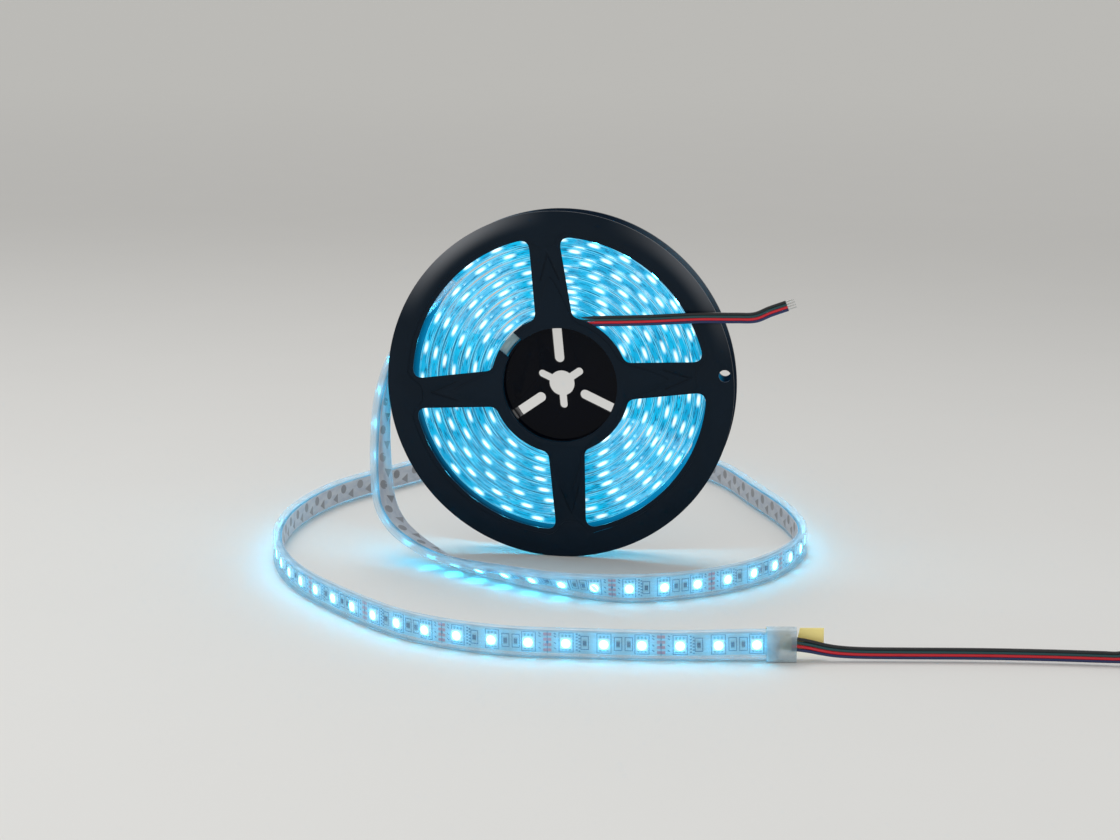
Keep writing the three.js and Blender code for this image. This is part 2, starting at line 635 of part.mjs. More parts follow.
function addOuterLead() {
  const face = freeFrame(CAP_FACE);
  const start = placeOn(face, 0, 0, CLEARANCE);
  const route = [
    [...start.toArray(), OUTER_LEAD_SPACING],
    ...OUTER_LEAD_ROUTE,
    [HOUSING_START[0] - CORE_DIAMETER, HOUSING_START[1], HOUSING_HEIGHT, CONTACT_PITCH],
    [HOUSING_START[0] + CORE_ENTRY, HOUSING_START[1], HOUSING_HEIGHT, CONTACT_PITCH],
  ];
  CORE_NAMES.forEach((name, index) => {
    const points = route.map(([x, y, z, spacing]) => new THREE.Vector3(x, y, z + CORE_PLACES[index] * spacing));
    addPiece(`outer_lead_${name}`, coreTube(points, CORE_DIAMETER, 20), COLOURS[name], 0.45);
  });
}

function addConnector() {
  const [x, y] = HOUSING_START;
  const box = new THREE.BoxGeometry(HOUSING_LENGTH, HOUSING_THICKNESS, HOUSING_WIDTH);
  box.translate(x + HOUSING_LENGTH / 2, y, HOUSING_HEIGHT);
  let housing = toSolid(box);
  CORE_NAMES.forEach((name, index) => {
    const z = HOUSING_HEIGHT + CORE_PLACES[index] * CONTACT_PITCH;
    const channel = new THREE.BoxGeometry(HOUSING_LENGTH + 2, CHANNEL_SIZE, CHANNEL_SIZE);
    channel.translate(x + HOUSING_LENGTH / 2, y, z);
    housing = housing.subtract(toSolid(channel));
    const size = CHANNEL_SIZE - 2 * CLEARANCE;
    const contact = new THREE.BoxGeometry(CONTACT_LENGTH, size, size);
    contact.translate(x + HOUSING_LENGTH - CONTACT_INSET - CONTACT_LENGTH / 2, y, z);
    addPiece(`contact_${name}`, contact, COLOURS.gold, 0.3, 1);
  });
  addPiece('connector_housing', toGeometry(housing), COLOURS.black, 0.45);
}

function addInnerLead() {
  const frames = innerLeadFrames();
  const last = frames[frames.length - 1];
  CORE_NAMES.forEach((name, index) => {
    const offset = CORE_PLACES[index] * INNER_LEAD_SPACING;
    const points = frames.filter((frame, i) => i % 3 === 0).map((frame) => placeOn(frame, 0, offset));
    addPiece(`inner_lead_${name}`, coreTube(points, CORE_DIAMETER, 18), COLOURS[name], 0.45);
    const tipStart = placeOn(last, 0, offset, CLEARANCE);
    const tipEnd = placeOn(last, 0, offset, CLEARANCE + TIP_LENGTH);
    const tip = coreTube([tipStart, tipEnd], TIP_DIAMETER, 1);
    addPiece(`tinned_tip_${name}`, tip, COLOURS.tinned, 0.35, 1);
  });
}

addFlanges();
addHub();
addRoll();
addInnerCap();
addFreeSleeve();
addFreeCircuit();
addLiner();
addOuterCap();
addOuterLead();
addConnector();
addInnerLead();

export default part;
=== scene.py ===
"""An LED strip light reel on a pale floor: a moulded reel that stands on its rim, wound with a glowing strip
in a clear silicone sleeve. The strip's outer end lies in a loop on the floor and ends in a cap with a
four-core lead, and the strip's inner end has a lead of its own.

Strip parts are made flat, in millimetres: x along the strip, y across it and z towards its lit side. They are
then wrapped onto the strip's route, which runs out of the roll, down to the floor and round the reel.
"""
import math

import bmesh
import bpy
import numpy as np
from mathutils import Matrix, Vector


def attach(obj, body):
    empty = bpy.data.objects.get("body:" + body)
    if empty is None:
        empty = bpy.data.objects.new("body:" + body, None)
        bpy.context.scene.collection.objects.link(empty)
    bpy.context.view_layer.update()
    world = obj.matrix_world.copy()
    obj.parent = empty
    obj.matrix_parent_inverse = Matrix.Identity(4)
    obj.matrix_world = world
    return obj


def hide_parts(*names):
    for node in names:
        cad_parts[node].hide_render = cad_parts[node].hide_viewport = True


bl_info = {
    "name": "LED strip light reel",
    "version": (1, 0, 0),
    "blender": (4, 5, 0),
    "location": "View3D > Sidebar > Strip Reel",
    "description": "Builds a reel of LED strip in a clear sleeve, with its leads, floor and light",
    "category": "Add Mesh",
}

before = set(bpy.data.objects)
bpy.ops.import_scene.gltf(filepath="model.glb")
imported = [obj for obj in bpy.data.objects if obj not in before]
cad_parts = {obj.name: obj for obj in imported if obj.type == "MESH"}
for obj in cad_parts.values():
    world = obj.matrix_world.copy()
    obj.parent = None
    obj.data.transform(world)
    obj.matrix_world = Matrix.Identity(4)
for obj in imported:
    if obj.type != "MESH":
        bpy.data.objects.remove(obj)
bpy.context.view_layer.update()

MM = 0.001
AXIS_HEIGHT = 89.0
REEL_FRONT = -8.4

# The strip's section, as it is in the CAD model
SLEEVE_END = 1282.208
SLEEVE_ENTRY = 1277.008
CAP_FACE = 1290.008
BOARD_END = 1281.158
BOARD_BACK = -1.05
BOARD_FRONT = -0.70
LED_PITCH = 50.0 / 3.0
UNIT_LENGTH = 50.0
FIRST_LED = BOARD_END - LED_PITCH / 2
LINER_START = 32.0
LINER_FRONT = -2.55

# The roll's spiral
ROLL_START = math.radians(125)
ROLL_SWEEP = math.radians(8 * 360 + 10)
ROLL_MIDDLE = 32.8115
TURN_PITCH = 5.1
ROLL_LEAN = 2.0
INNER_CAP_SWEEP = math.radians(21)
SWEPT = np.linspace(-math.radians(30), ROLL_SWEEP, 9001)

# The free strip's route: x, y, z of its middle, then the direction across its width
FALL_ROUTE = [
    (-67.0, 0, 127.6, 0, 1, 0),
    (-79.5, 0, 113.2, 0, 1, 0),
    (-89.4, 0, 96.6, 0, 1, 0),
    (-92.9, -1.0, 84.8, 0.09, 1, 0),
    (-94.2, -4.0, 72, 0.22, 0.97, 0),
    (-93.7, -9.0, 48, 0.38, 0.92, -0.02),
    (-89.8, -17.0, 27, 0.48, 0.86, -0.08),
    (-84.3, -22.3, 19.2, 0.52, 0.83, -0.15),
    (-77.2, -27.6, 14.0, 0.54, 0.8, -0.2),
    (-62.5, -36.6, 7.9, 0.56, 0.76, -0.3),
    (-47.5, -46.3, 5.2, 0.48, 0.76, -0.44),
    (-18.0, -63.0, 6.1, 0.35, 0.68, -0.65),
    (14.6, -76.6, 6.7, 0.15, 0.56, -0.82),
]
FLOOR_ROUTE = [
    (45.7, -79.1), (76.0, -67.0), (99.4, -46.6), (115.0, -18.6), (121.0, 16.0), (112.0, 54.0),
    (88.2, 104.0), (60.6, 153.6), (22.4, 185.4), (-22.0, 194.4), (-64.6, 181.2), (-95.4, 152.4),
    (-116.5, 119.0), (-142.6, 70.0), (-150.4, 18.0), (-142.4, -34.6), (-117.5, -84.0), (-76.0, -126.6),
    (-40.0, -152.2), (0.0, -163.6), (40.0, -162.2), (80.0, -158.2),
]
EDGE_HEIGHT = 6.8
CAP_ROUTE = [(112.0, -153.4), (131.6, -150.3)]
CAP_HEIGHT = 7.55

# The outer lead: x, y, z of its middle, then the spacing of its cores, black on top
OUTER_LEAD_ROUTE = [
    (137.5, -148.9, 6.5, 1.55), (142.5, -148.2, 5.4, 1.45), (148.0, -147.5, 4.5, 1.38),
    (157.0, -146.3, 3.9, 1.32), (180.0, -142.8, 3.7, 1.3), (199.0, -139.9, 3.7, 1.3),
    (218.0, -137.4, 3.7, 1.3), (242.0, -135.0, 3.7, 1.3), (262.0, -133.6, 3.7, 1.3),
    (268.5, -133.3, 3.8, 1.3), (273.5, -133.1, 4.6, 1.9), (277.5, -133.0, 5.33, 2.54),
    (280.4, -133.0, 5.33, 2.54),
]
OUTER_LEAD_SPACING = 1.65
HOUSING_MIDDLE = (285.0, -133.0, 5.33)
CONTACT_PITCH = 2.54

# The inner lead: x, y, z of its middle, then the direction in which its cores are stacked
INNER_LEAD_ROUTE = [
    (-3.0, -2.5, 121.4, 0, 1, 0), (2.0, -3.9, 121.6, 0, 0.75, 0.66), (8.0, -5.6, 121.5, 0, 0.1, 1),
    (14.0, -6.2, 121.5, 0, 0, 1), (20.0, -6.4, 121.9, 0, 0, 1), (32.0, -7.6, 122.6, 0, 0, 1),
    (46.0, -8.6, 123.5, 0, 0, 1), (60.0, -9.5, 124.7, 0, 0, 1), (72.0, -9.8, 125.5, 0, 0, 1),
    (88.2, -10.0, 125.9, 0, 0, 1), (98.0, -10.4, 126.5, 0, 0, 1), (105.3, -10.9, 129.7, -0.2, 0, 1),
    (113.4, -11.5, 132.8, -0.2, 0, 1),
]
INNER_LEAD_SPACING = 1.3
CORES = ("black", "green", "red", "blue")

# The reel's moulding: each rim's radius and its middle
FRONT_RIM = (88.3, (-0.6, -0.7))
REAR_RIM = (88.0, (-0.7, -0.9))
WINDOW_DRIFT = (-1.1, -0.2)
HUB_BORE = 28.8
COLLAR_BORE = 29.2
COLLAR_RADIUS = 35.3
FRONT_WINDOW_RADIUS = 75.0
REAR_WINDOW_RADIUS = 73.4
SPOKE_TURN = math.radians(5)
REAR_SPOKE_LAG = math.radians(21)
SPOKE_RIM_WIDTH = 15.2
SPOKE_COLLAR_WIDTH = 18.6
WINDOW_CORNER = 6.0
FRAME_DEPTH = 0.5
FLANGE_THICKNESS = 1.4
RIM_STEP_RADIUS = 77.4
COLLAR_STEP_RADIUS = 32.8
RIM_HOLE_RADIUS = 3.1
FRONT_HOLE_PLACE = 83.3
REAR_HOLE_PLACE = 81.6
GROOVE_WIDTH = 1.0
GROOVE_DEPTH = 0.5
GROOVE_APEX = 66.5
GROOVE_END = (53.5, 4.7)
# Colour of the painted sheen on the reel's rim shoulders
RIM_SHEEN = (0.24, 0.25, 0.27, 1)
SPILL = (0.0, 0.30, 0.62)
NOTCH_ANGLE = math.radians(141.5)
NOTCH_WIDTH = 11.5


# Routes

def smooth_route(points, divisions):
    """Places along a centripetal Catmull-Rom curve, and how far through the points each one is."""
    points = [np.array(point, float) for point in points]
    first = points[0] * 2 - points[1]
    last = points[-1] * 2 - points[-2]
    padded = [first, *points, last]
    places = []
    progress = []
    for i in range(divisions + 1):
        through = i / divisions * (len(points) - 1)
        index = min(int(through), len(points) - 2)
        weight = through - index
        before, start, end, after = padded[index:index + 4]
        gap = [math.sqrt(np.linalg.norm(b - a)) for a, b in ((before, start), (start, end), (end, after))]
        leave = (start - before) / gap[0] - (end - before) / (gap[0] + gap[1]) + (end - start) / gap[1]
        arrive = (end - start) / gap[1] - (after - start) / (gap[1] + gap[2]) + (after - end) / gap[2]
        leave *= gap[1]
        arrive *= gap[1]
        square = -3 * start + 3 * end - 2 * leave - arrive
        cube = 2 * start - 2 * end + leave + arrive
        places.append(start + weight * (leave + weight * (square + weight * cube)))
        progress.append(through)
    return np.array(places), np.array(progress)


def unit_rows(rows):
    return rows / np.linalg.norm(rows, axis=1)[:, None]


def strip_route():
    """The whole strip's route: lengths, places, directions across, and directions that the lit face looks.
    The length is 0 where the strip leaves the roll, less than that in the roll and more on the free strip."""
    angle = ROLL_START + SWEPT
    middle = ROLL_MIDDLE + TURN_PITCH * SWEPT / (2 * math.pi)
    outward = np.stack([np.cos(angle), 0 * angle, np.sin(angle)], axis=1)
    roll = outward * middle[:, None]
    roll[:, 0] -= ROLL_LEAN * SWEPT / ROLL_SWEEP
    roll[:, 2] += AXIS_HEIGHT
    roll_along = unit_rows(np.gradient(roll, axis=0))

    points = [roll[-1], *[row[:3] for row in FALL_ROUTE]]
    points += [(x, y, EDGE_HEIGHT) for x, y in FLOOR_ROUTE]
    points += [(x, y, CAP_HEIGHT) for x, y in CAP_ROUTE]
    across = [(0, 1, 0), *[row[3:] for row in FALL_ROUTE]]
    across += [(0, 0, -1)] * (len(FLOOR_ROUTE) + len(CAP_ROUTE))
    free, progress = smooth_route(points, 12000)
    rows = np.arange(len(points))
    free_across = np.stack([np.interp(progress, rows, [row[i] for row in across]) for i in range(3)], axis=1)
    free_along = unit_rows(np.gradient(free, axis=0))

    places = np.concatenate([roll, free[1:], [free[-1] + 60 * free_along[-1]]])
    along = np.concatenate([roll_along, free_along[1:], free_along[-1:]])
    wide = np.concatenate([np.tile((0.0, 1.0, 0.0), (len(roll), 1)), free_across[1:], free_across[-1:]])
    wide = unit_rows(wide - along * np.sum(wide * along, axis=1)[:, None])
    lit = np.cross(wide, along)
    steps = np.linalg.norm(np.diff(places, axis=0), axis=1)
    lengths = np.concatenate([[0.0], np.cumsum(steps)])
    lengths -= lengths[len(roll) - 1]
    return lengths, places, wide, lit


ROUTE_LENGTHS, ROUTE_PLACES, ROUTE_ACROSS, ROUTE_LIT = strip_route()
ROLL_INNER_END = float(np.interp(0.0, SWEPT, ROUTE_LENGTHS[:len(SWEPT)]))
CAP_INNER_END = float(np.interp(-INNER_CAP_SWEEP, SWEPT, ROUTE_LENGTHS[:len(SWEPT)]))
LAST_TURN_START = -2 * math.pi * 70.0


def on_route(length, across=0.0, lit=0.0):
    """Places on the strip's route, in millimetres, for numbers or for arrays of them."""
    rows = []
    for i in range(3):
        place = np.interp(length, ROUTE_LENGTHS, ROUTE_PLACES[:, i])
        place = place + across * np.interp(length, ROUTE_LENGTHS, ROUTE_ACROSS[:, i])
        rows.append(place + lit * np.interp(length, ROUTE_LENGTHS, ROUTE_LIT[:, i]))
    return np.stack(rows, axis=-1)


# Meshes

def to_piece(name, bm, material, replaces=(), smooth=True):
    """Makes a piece of a mesh in millimetres, which rides on the object's one body."""
    bmesh.ops.scale(bm, vec=(MM, MM, MM), verts=bm.verts)
    mesh = bpy.data.meshes.new(name)
    bm.to_mesh(mesh)
    bm.free()
    piece = bpy.data.objects.new(name, mesh)
    bpy.context.scene.collection.objects.link(piece)
    mesh.materials.append(material)
    if smooth:
        mesh.shade_smooth()
        mesh.set_sharp_from_angle(angle=math.radians(38))
    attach(piece, "root")
    if replaces:
        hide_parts(*replaces)
    return piece


def wrap_on_strip(bm):
    """Wraps a mesh made in strip space onto the route, and keeps where each point was as an attribute."""
    keep = bm.verts.layers.float_vector.new("strip_place")
    flat = np.array([vert.co for vert in bm.verts])
    placed = on_route(flat[:, 0], flat[:, 1], flat[:, 2])
    for vert, before, after in zip(bm.verts, flat, placed):
        vert[keep] = (before[0] - FIRST_LED, before[1], before[2])
        vert.co = after
    bmesh.ops.reverse_faces(bm, faces=bm.faces)


def add_block(bm, middle, size, bevel=0.0):
    """A block, with its edges cut back where asked."""
    place = Matrix.Translation(middle) @ Matrix.Diagonal((*size, 1.0))
    made = bmesh.ops.create_cube(bm, size=1.0, matrix=place)
    if bevel:
        edges = list({edge for vert in made["verts"] for edge in vert.link_edges})
        bmesh.ops.bevel(bm, geom=edges, offset=bevel, segments=1, profile=0.5, affect="EDGES", material=-1)
    return made["verts"]


def append_mesh(bm, other, matrix=None):
    """Adds a copy of another mesh, moved by a matrix."""
    mesh = bpy.data.meshes.new("part")
    other.to_mesh(mesh)
    count = len(bm.verts)
    bm.from_mesh(mesh)
    bpy.data.meshes.remove(mesh)
    bm.verts.ensure_lookup_table()
    if matrix is not None:
        bmesh.ops.transform(bm, matrix=matrix, verts=bm.verts[count:])


def section_loop(bm, at, half_width, low, high, corner, segments):
    """A rectangle across the strip, with its corners rounded where asked, as a loop of edges."""
    corners = [(-half_width, low), (half_width, low), (half_width, high), (-half_width, high)]
    verts = [bm.verts.new((at, y, z)) for y, z in corners]
    bm.faces.new(verts)
    if corner:
        bmesh.ops.bevel(bm, geom=verts, offset=corner, segments=segments, profile=0.5, affect="VERTICES",
                        material=-1)


def sweep_section(start, end, half_width, low, high, corner=0.0, segments=3, step=2.5, hole=None):
    """A closed bar in strip space, or a tube where a hole's half width, low and high are given."""
    bm = bmesh.new()
    section_loop(bm, start, half_width, low, high, corner, segments)
    loops = [list(bm.edges)]
    bmesh.ops.delete(bm, geom=list(bm.faces), context="FACES_ONLY")
    if hole:
        before = set(bm.edges)
        section_loop(bm, start, *hole, 0.3, 2)
        inner_faces = list(bm.faces)
        loops.append([edge for edge in bm.edges if edge not in before])
        bmesh.ops.delete(bm, geom=inner_faces, context="FACES_ONLY")
    edges = [edge for loop in loops for edge in loop]
    count = max(1, round((end - start) / step))
    bmesh.ops.spin(bm, geom=edges, cent=(0, 0, 0), axis=(1, 0, 0), dvec=((end - start) / count, 0, 0),
                   angle=0.0, steps=count, use_duplicate=False)
    for at in (start, end):
        rim = [edge for edge in bm.edges if edge.is_boundary
               and all(abs(vert.co.x - at) < 1e-4 for vert in edge.verts)]
        if hole:
            bmesh.ops.bridge_loops(bm, edges=rim)
        else:
            bmesh.ops.holes_fill(bm, edges=rim, sides=0)
    bmesh.ops.recalc_face_normals(bm, faces=bm.faces)
    return bm


# Shader helpers

class Nodes:
    """Adds nodes to a material's or a group's tree."""

    def __init__(self, tree):
        self.tree = tree

    def feed(self, socket, value):
        if isinstance(value, bpy.types.NodeSocket):
            self.tree.links.new(value, socket)
        else:
            socket.default_value = value

    def math(self, operation, first, second=0.5, clamp=False):
        node = self.tree.nodes.new("ShaderNodeMath")
        node.operation = operation
        node.use_clamp = clamp
        self.feed(node.inputs[0], first)
        self.feed(node.inputs[1], second)
        return node.outputs[0]

    def times(self, first, second, clamp=False):
        return self.math("MULTIPLY", first, second, clamp)

    def plus(self, first, second, clamp=False):
        return self.math("ADD", first, second, clamp)

    def minus(self, first, second):
        return self.math("SUBTRACT", first, second)

    def size(self, value):
        return self.math("ABSOLUTE", value)

    def ramp(self, value, start, end, low=0.0, high=1.0):
        """A smooth rise or fall of a value between two places."""
        node = self.tree.nodes.new("ShaderNodeMapRange")
        node.interpolation_type = "SMOOTHSTEP"
        for name, given in (("Value", value), ("From Min", start), ("From Max", end), ("To Min", low),
                            ("To Max", high)):
            self.feed(node.inputs[name], given)
        return node.outputs["Result"]

    def bump_at(self, value, middle, reach):
        """1 where a value is at the middle, and 0 further from it than the reach."""
        return self.ramp(self.size(self.minus(value, middle)), 0.0, reach, 1.0, 0.0)

    def mix(self, factor, first, second):
        node = self.tree.nodes.new("ShaderNodeMix")
        node.data_type = "RGBA"
        self.feed(node.inputs[0], factor)
        self.feed(node.inputs[6], first)
        self.feed(node.inputs[7], second)
        return node.outputs[2]

    def scale_colour(self, colour, factor):
        node = self.tree.nodes.new("ShaderNodeVectorMath")
        node.operation = "SCALE"
        self.feed(node.inputs[0], colour)
        self.feed(node.inputs["Scale"], factor)
        return node.outputs[0]

    def noise(self, vector, scale, detail=2.0, stretch=(1.0, 1.0, 1.0)):
        mapping = self.tree.nodes.new("ShaderNodeMapping")
        mapping.inputs["Scale"].default_value = stretch
        self.feed(mapping.inputs["Vector"], vector)
        node = self.tree.nodes.new("ShaderNodeTexNoise")
        node.inputs["Scale"].default_value = scale
        node.inputs["Detail"].default_value = detail
        self.feed(node.inputs["Vector"], mapping.outputs["Vector"])
        return node.outputs["Fac"]

    def attribute(self, name):
        node = self.tree.nodes.new("ShaderNodeAttribute")
        node.attribute_name = name
        return node.outputs["Vector"]

    def place(self):
        return self.tree.nodes.new("ShaderNodeTexCoord").outputs["Object"]

    def parts(self, vector):
        node = self.tree.nodes.new("ShaderNodeSeparateXYZ")
        self.feed(node.inputs[0], vector)
        return node.outputs

    def group(self, tree, **values):
        node = self.tree.nodes.new("ShaderNodeGroup")
        node.node_tree = tree
        for name, value in values.items():
            self.feed(node.inputs[name.replace("_", " ").capitalize()], value)
        return node.outputs


def new_group(name, inputs, outputs):
    """A node group with named inputs and outputs. Inputs are given as (name, kind, default)."""
    tree = bpy.data.node_groups.new(name, "ShaderNodeTree")
    for label, kind, default in inputs:
        socket = tree.interface.new_socket(name=label, in_out="INPUT", socket_type=kind)
        if default is not None:
            socket.default_value = default
    for label, kind in outputs:
        tree.interface.new_socket(name=label, in_out="OUTPUT", socket_type=kind)
    start = tree.nodes.new("NodeGroupInput")
    end = tree.nodes.new("NodeGroupOutput")
    return Nodes(tree), start.outputs, end.inputs


def plastic_grain_group():
    """Fine moulded grain with soft blotches: a tone near 1, a roughness and a height for a bump."""
    nodes, given, result = new_group(
        "Plastic grain",
        [("Place", "NodeSocketVector", None), ("Roughness", "NodeSocketFloat", 0.4),
         ("Variation", "NodeSocketFloat", 0.1)],
        [("Tone", "NodeSocketFloat"), ("Roughness", "NodeSocketFloat"), ("Height", "NodeSocketFloat")])
    fine = nodes.noise(given["Place"], 2600.0, 2.0)
    broad = nodes.noise(given["Place"], 45.0, 3.0)
    swing = nodes.times(nodes.minus(broad, 0.5), given["Variation"])
    nodes.feed(result["Tone"], nodes.plus(nodes.times(swing, 2.0), 1.0))
    rough = nodes.plus(given["Roughness"], swing)
    fleck = nodes.times(nodes.minus(fine, 0.5), 0.08)
    nodes.feed(result["Roughness"], nodes.plus(rough, fleck, clamp=True))
    nodes.feed(result["Height"], nodes.plus(fine, nodes.times(broad, 0.5)))
    return nodes.tree


def lamp_glow_group():
    """How near a place on the strip is to its nearest LED: the distances in millimetres, and a soft glow."""
    nodes, given, result = new_group(
        "Lamp glow",
        [("Place", "NodeSocketVector", None), ("Reach", "NodeSocketFloat", 4.0)],
        [("Along", "NodeSocketFloat"), ("Distance", "NodeSocketFloat"), ("Glow", "NodeSocketFloat")])
    x, y, _ = nodes.parts(given["Place"])
    along = nodes.math("PINGPONG", x, LED_PITCH / 2)
    squares = nodes.plus(nodes.math("POWER", along, 2.0), nodes.times(y, y))
    distance = nodes.math("SQRT", squares)
    ratio = nodes.math("DIVIDE", distance, given["Reach"])
    nodes.feed(result["Along"], along)
    nodes.feed(result["Distance"], distance)
    nodes.feed(result["Glow"], nodes.math("POWER", 0.3679, nodes.times(ratio, ratio)))
    return nodes.tree


def shared_group(name, build):
    return bpy.data.node_groups.get(name) or build()


def colour_of(rgb, strength=1.0):
    return (rgb[0] * strength, rgb[1] * strength, rgb[2] * strength, 1.0)


def new_material(name, colour, roughness, metallic=0.0, **settings):
    """A material with a Principled shader: its node adder and the shader's inputs."""
    material = bpy.data.materials.new(name)
    material.use_nodes = True
    shader = material.node_tree.nodes["Principled BSDF"]
    shader.inputs["Base Color"].default_value = colour_of(colour)
    shader.inputs["Roughness"].default_value = roughness
    shader.inputs["Metallic"].default_value = metallic
    for name, value in settings.items():
        shader.inputs[name.replace("_", " ").title().replace("Ior", "IOR")].default_value = value
    return material, Nodes(material.node_tree), shader.inputs


def grain_finish(nodes, inputs, colour, roughness, variation, bump, place=None):
    """Gives a shader the shared plastic grain: its colour, roughness and bump."""
    grain = nodes.group(shared_group("Plastic grain", plastic_grain_group),
                        place=place or nodes.place(), roughness=roughness, variation=variation)
    nodes.feed(inputs["Base Color"], nodes.scale_colour(colour, grain["Tone"]))
    nodes.feed(inputs["Roughness"], grain["Roughness"])
    add_bump(nodes, inputs, grain["Height"], bump, 0.0001)
    return grain


def add_glow(material, nodes, inputs, colour):
    """Makes a surface shine by itself, without lighting what is round it."""
    nodes.feed(inputs["Emission Color"], colour)
    inputs["Emission Strength"].default_value = 1.0
    material.cycles.emission_sampling = "NONE"


def add_bump(nodes, inputs, height, strength, distance):
    node = nodes.tree.nodes.new("ShaderNodeBump")
    node.inputs["Strength"].default_value = strength
    node.inputs["Distance"].default_value = distance
    nodes.feed(node.inputs["Height"], height)
    nodes.feed(inputs["Normal"], node.outputs["Normal"])


def plain_plastic(name, colour, roughness=0.4, variation=0.12, bump=0.15, metallic=0.0, **settings):
    material, nodes, inputs = new_material(name, colour, roughness, metallic, **settings)
    grain_finish(nodes, inputs, colour[:3], roughness, variation, bump)
    return material


# Settings

class StripSettings(bpy.types.PropertyGroup):
    sleeve_width: bpy.props.FloatProperty(
        name="Sleeve width", description="Width of the clear sleeve", default=0.0134, unit="LENGTH")
    sleeve_thickness: bpy.props.FloatProperty(
        name="Sleeve thickness", description="Thickness of the clear sleeve", default=0.0045, unit="LENGTH")
    board_width: bpy.props.FloatProperty(
        name="Board width", description="Width of the flexible board", default=0.010, unit="LENGTH")
    led_size: bpy.props.FloatProperty(
        name="LED size", description="Length of each side of an LED", default=0.005, unit="LENGTH")
    light_colour: bpy.props.FloatVectorProperty(
        name="Light colour", description="Colour of the LEDs' light", default=(0.02, 0.60, 1.0),
        subtype="COLOR", size=3, min=0.0, max=1.0)
    light_strength: bpy.props.FloatProperty(
        name="Light strength", description="How brightly the LEDs shine", default=40.0, unit="NONE")
    sleeve_colour: bpy.props.FloatVectorProperty(
        name="Sleeve colour", description="Tint of the clear sleeve", default=(0.60, 0.80, 0.88),
        subtype="COLOR", size=3, min=0.0, max=1.0)
    # The white board's colour is tinted blue here, as painted light from its LEDs
    board_colour: bpy.props.FloatVectorProperty(
        name="Board colour", description="Colour of the board's white coat", default=(0.40, 0.62, 0.74),
        subtype="COLOR", size=3, min=0.0, max=1.0)


class ReelSettings(bpy.types.PropertyGroup):
    edge_rounding: bpy.props.FloatProperty(
        name="Edge rounding", description="Rounding of the moulding's edges", default=0.0003, unit="LENGTH")
    colour: bpy.props.FloatVectorProperty(
        name="Reel colour", description="Colour of the reel's plastic", default=(0.0022, 0.0100, 0.0205),
        subtype="COLOR", size=3, min=0.0, max=1.0)


class LeadSettings(bpy.types.PropertyGroup):
    core_diameter: bpy.props.FloatProperty(
        name="Core diameter", description="Diameter of each insulated core", default=0.00152, unit="LENGTH")
    tinned_length: bpy.props.FloatProperty(
        name="Tinned length", description="Length of each bare tinned end", default=0.004, unit="LENGTH")


class StageSettings(bpy.types.PropertyGroup):
    floor_size: bpy.props.FloatProperty(
        name="Floor size", description="Length of each side of the floor", default=40.0, unit="LENGTH")
    sky_strength: bpy.props.FloatProperty(
        name="Sky strength", description="Strength of the even light from all round", default=0.62,
        unit="NONE")
    key_strength: bpy.props.FloatProperty(
        name="Key strength", description="Strength of the wide soft light from above", default=1.15,
        unit="NONE")


def mm(length):
    return length / MM


# Stage

CAMERA_PLACE = (0.2010891, -1.0439507, 0.3100321)
CAMERA_HEADING = (-0.1905781, 0.9816720, 0.0)
CAMERA_PITCH = math.radians(12.75443)
CAMERA_ROLL = math.radians(0.43939)
CAMERA_LENS = 69.12289
FLOOR_NEAR = (0.770, 0.764, 0.740, 1)
FLOOR_MIDDLE = (0.478, 0.470, 0.450, 1)
FLOOR_FAR = (0.505, 0.498, 0.474, 1)
KEY_PLACE = (-0.4, 0.8, 2.0)
KEY_SOFTNESS = math.radians(36)


def add_camera():
    """The camera, at the photograph's viewing angle."""
    heading = Vector(CAMERA_HEADING).normalized()
    level_right = heading.cross(Vector((0, 0, 1)))
    forward = heading * math.cos(CAMERA_PITCH) - Vector((0, 0, math.sin(CAMERA_PITCH)))
    level_up = level_right.cross(forward)
    up = level_up * math.cos(CAMERA_ROLL) + level_right * math.sin(CAMERA_ROLL)
    right = level_right * math.cos(CAMERA_ROLL) - level_up * math.sin(CAMERA_ROLL)
    turn = Matrix((right, up, -forward)).transposed().to_4x4()
    data = bpy.data.cameras.new("camera")
    data.lens = CAMERA_LENS
    data.sensor_width = 36.0
    data.sensor_fit = "HORIZONTAL"
    data.clip_end = 100.0
    camera = bpy.data.objects.new("camera", data)
    camera.matrix_world = Matrix.Translation(CAMERA_PLACE) @ turn
    bpy.context.scene.collection.objects.link(camera)
    bpy.context.scene.camera = camera


def floor_material():
    """Pale matt floor with painted shade: it darkens slowly away from the camera and to the right."""
    material, nodes, inputs = new_material("floor", (0.70, 0.69, 0.66), 0.85)
    place = nodes.place()
    x, y, _ = nodes.parts(place)
    near = nodes.ramp(y, -0.35, 1.35)
    far = nodes.ramp(y, 1.35, 3.5)
    side = nodes.times(nodes.ramp(x, -0.35, 0.45), nodes.ramp(y, 0.6, 1.5, 0.08, 0.0))
    tone = nodes.mix(near, FLOOR_NEAR, FLOOR_MIDDLE)
    tone = nodes.mix(far, tone, FLOOR_FAR)
    shade = nodes.minus(1.0, side)
    grain = nodes.noise(place, 14.0, 3.0)
    shade = nodes.times(shade, nodes.plus(nodes.times(grain, 0.02), 0.99))
    nodes.feed(inputs["Base Color"], nodes.scale_colour(tone, shade))
    inputs["Specular IOR Level"].default_value = 0.15
    return material


def add_key_light(strength):
    """The wide soft light from above and behind."""
    data = bpy.data.lights.new("key", "SUN")
    data.energy = strength
    data.color = (1, 1, 1)
    data.angle = KEY_SOFTNESS
    lamp = bpy.data.objects.new("key", data)
    aim = (-Vector(KEY_PLACE)).to_track_quat("-Z", "Y")
    lamp.matrix_world = Matrix.Translation(KEY_PLACE) @ aim.to_matrix().to_4x4()
    bpy.context.scene.collection.objects.link(lamp)


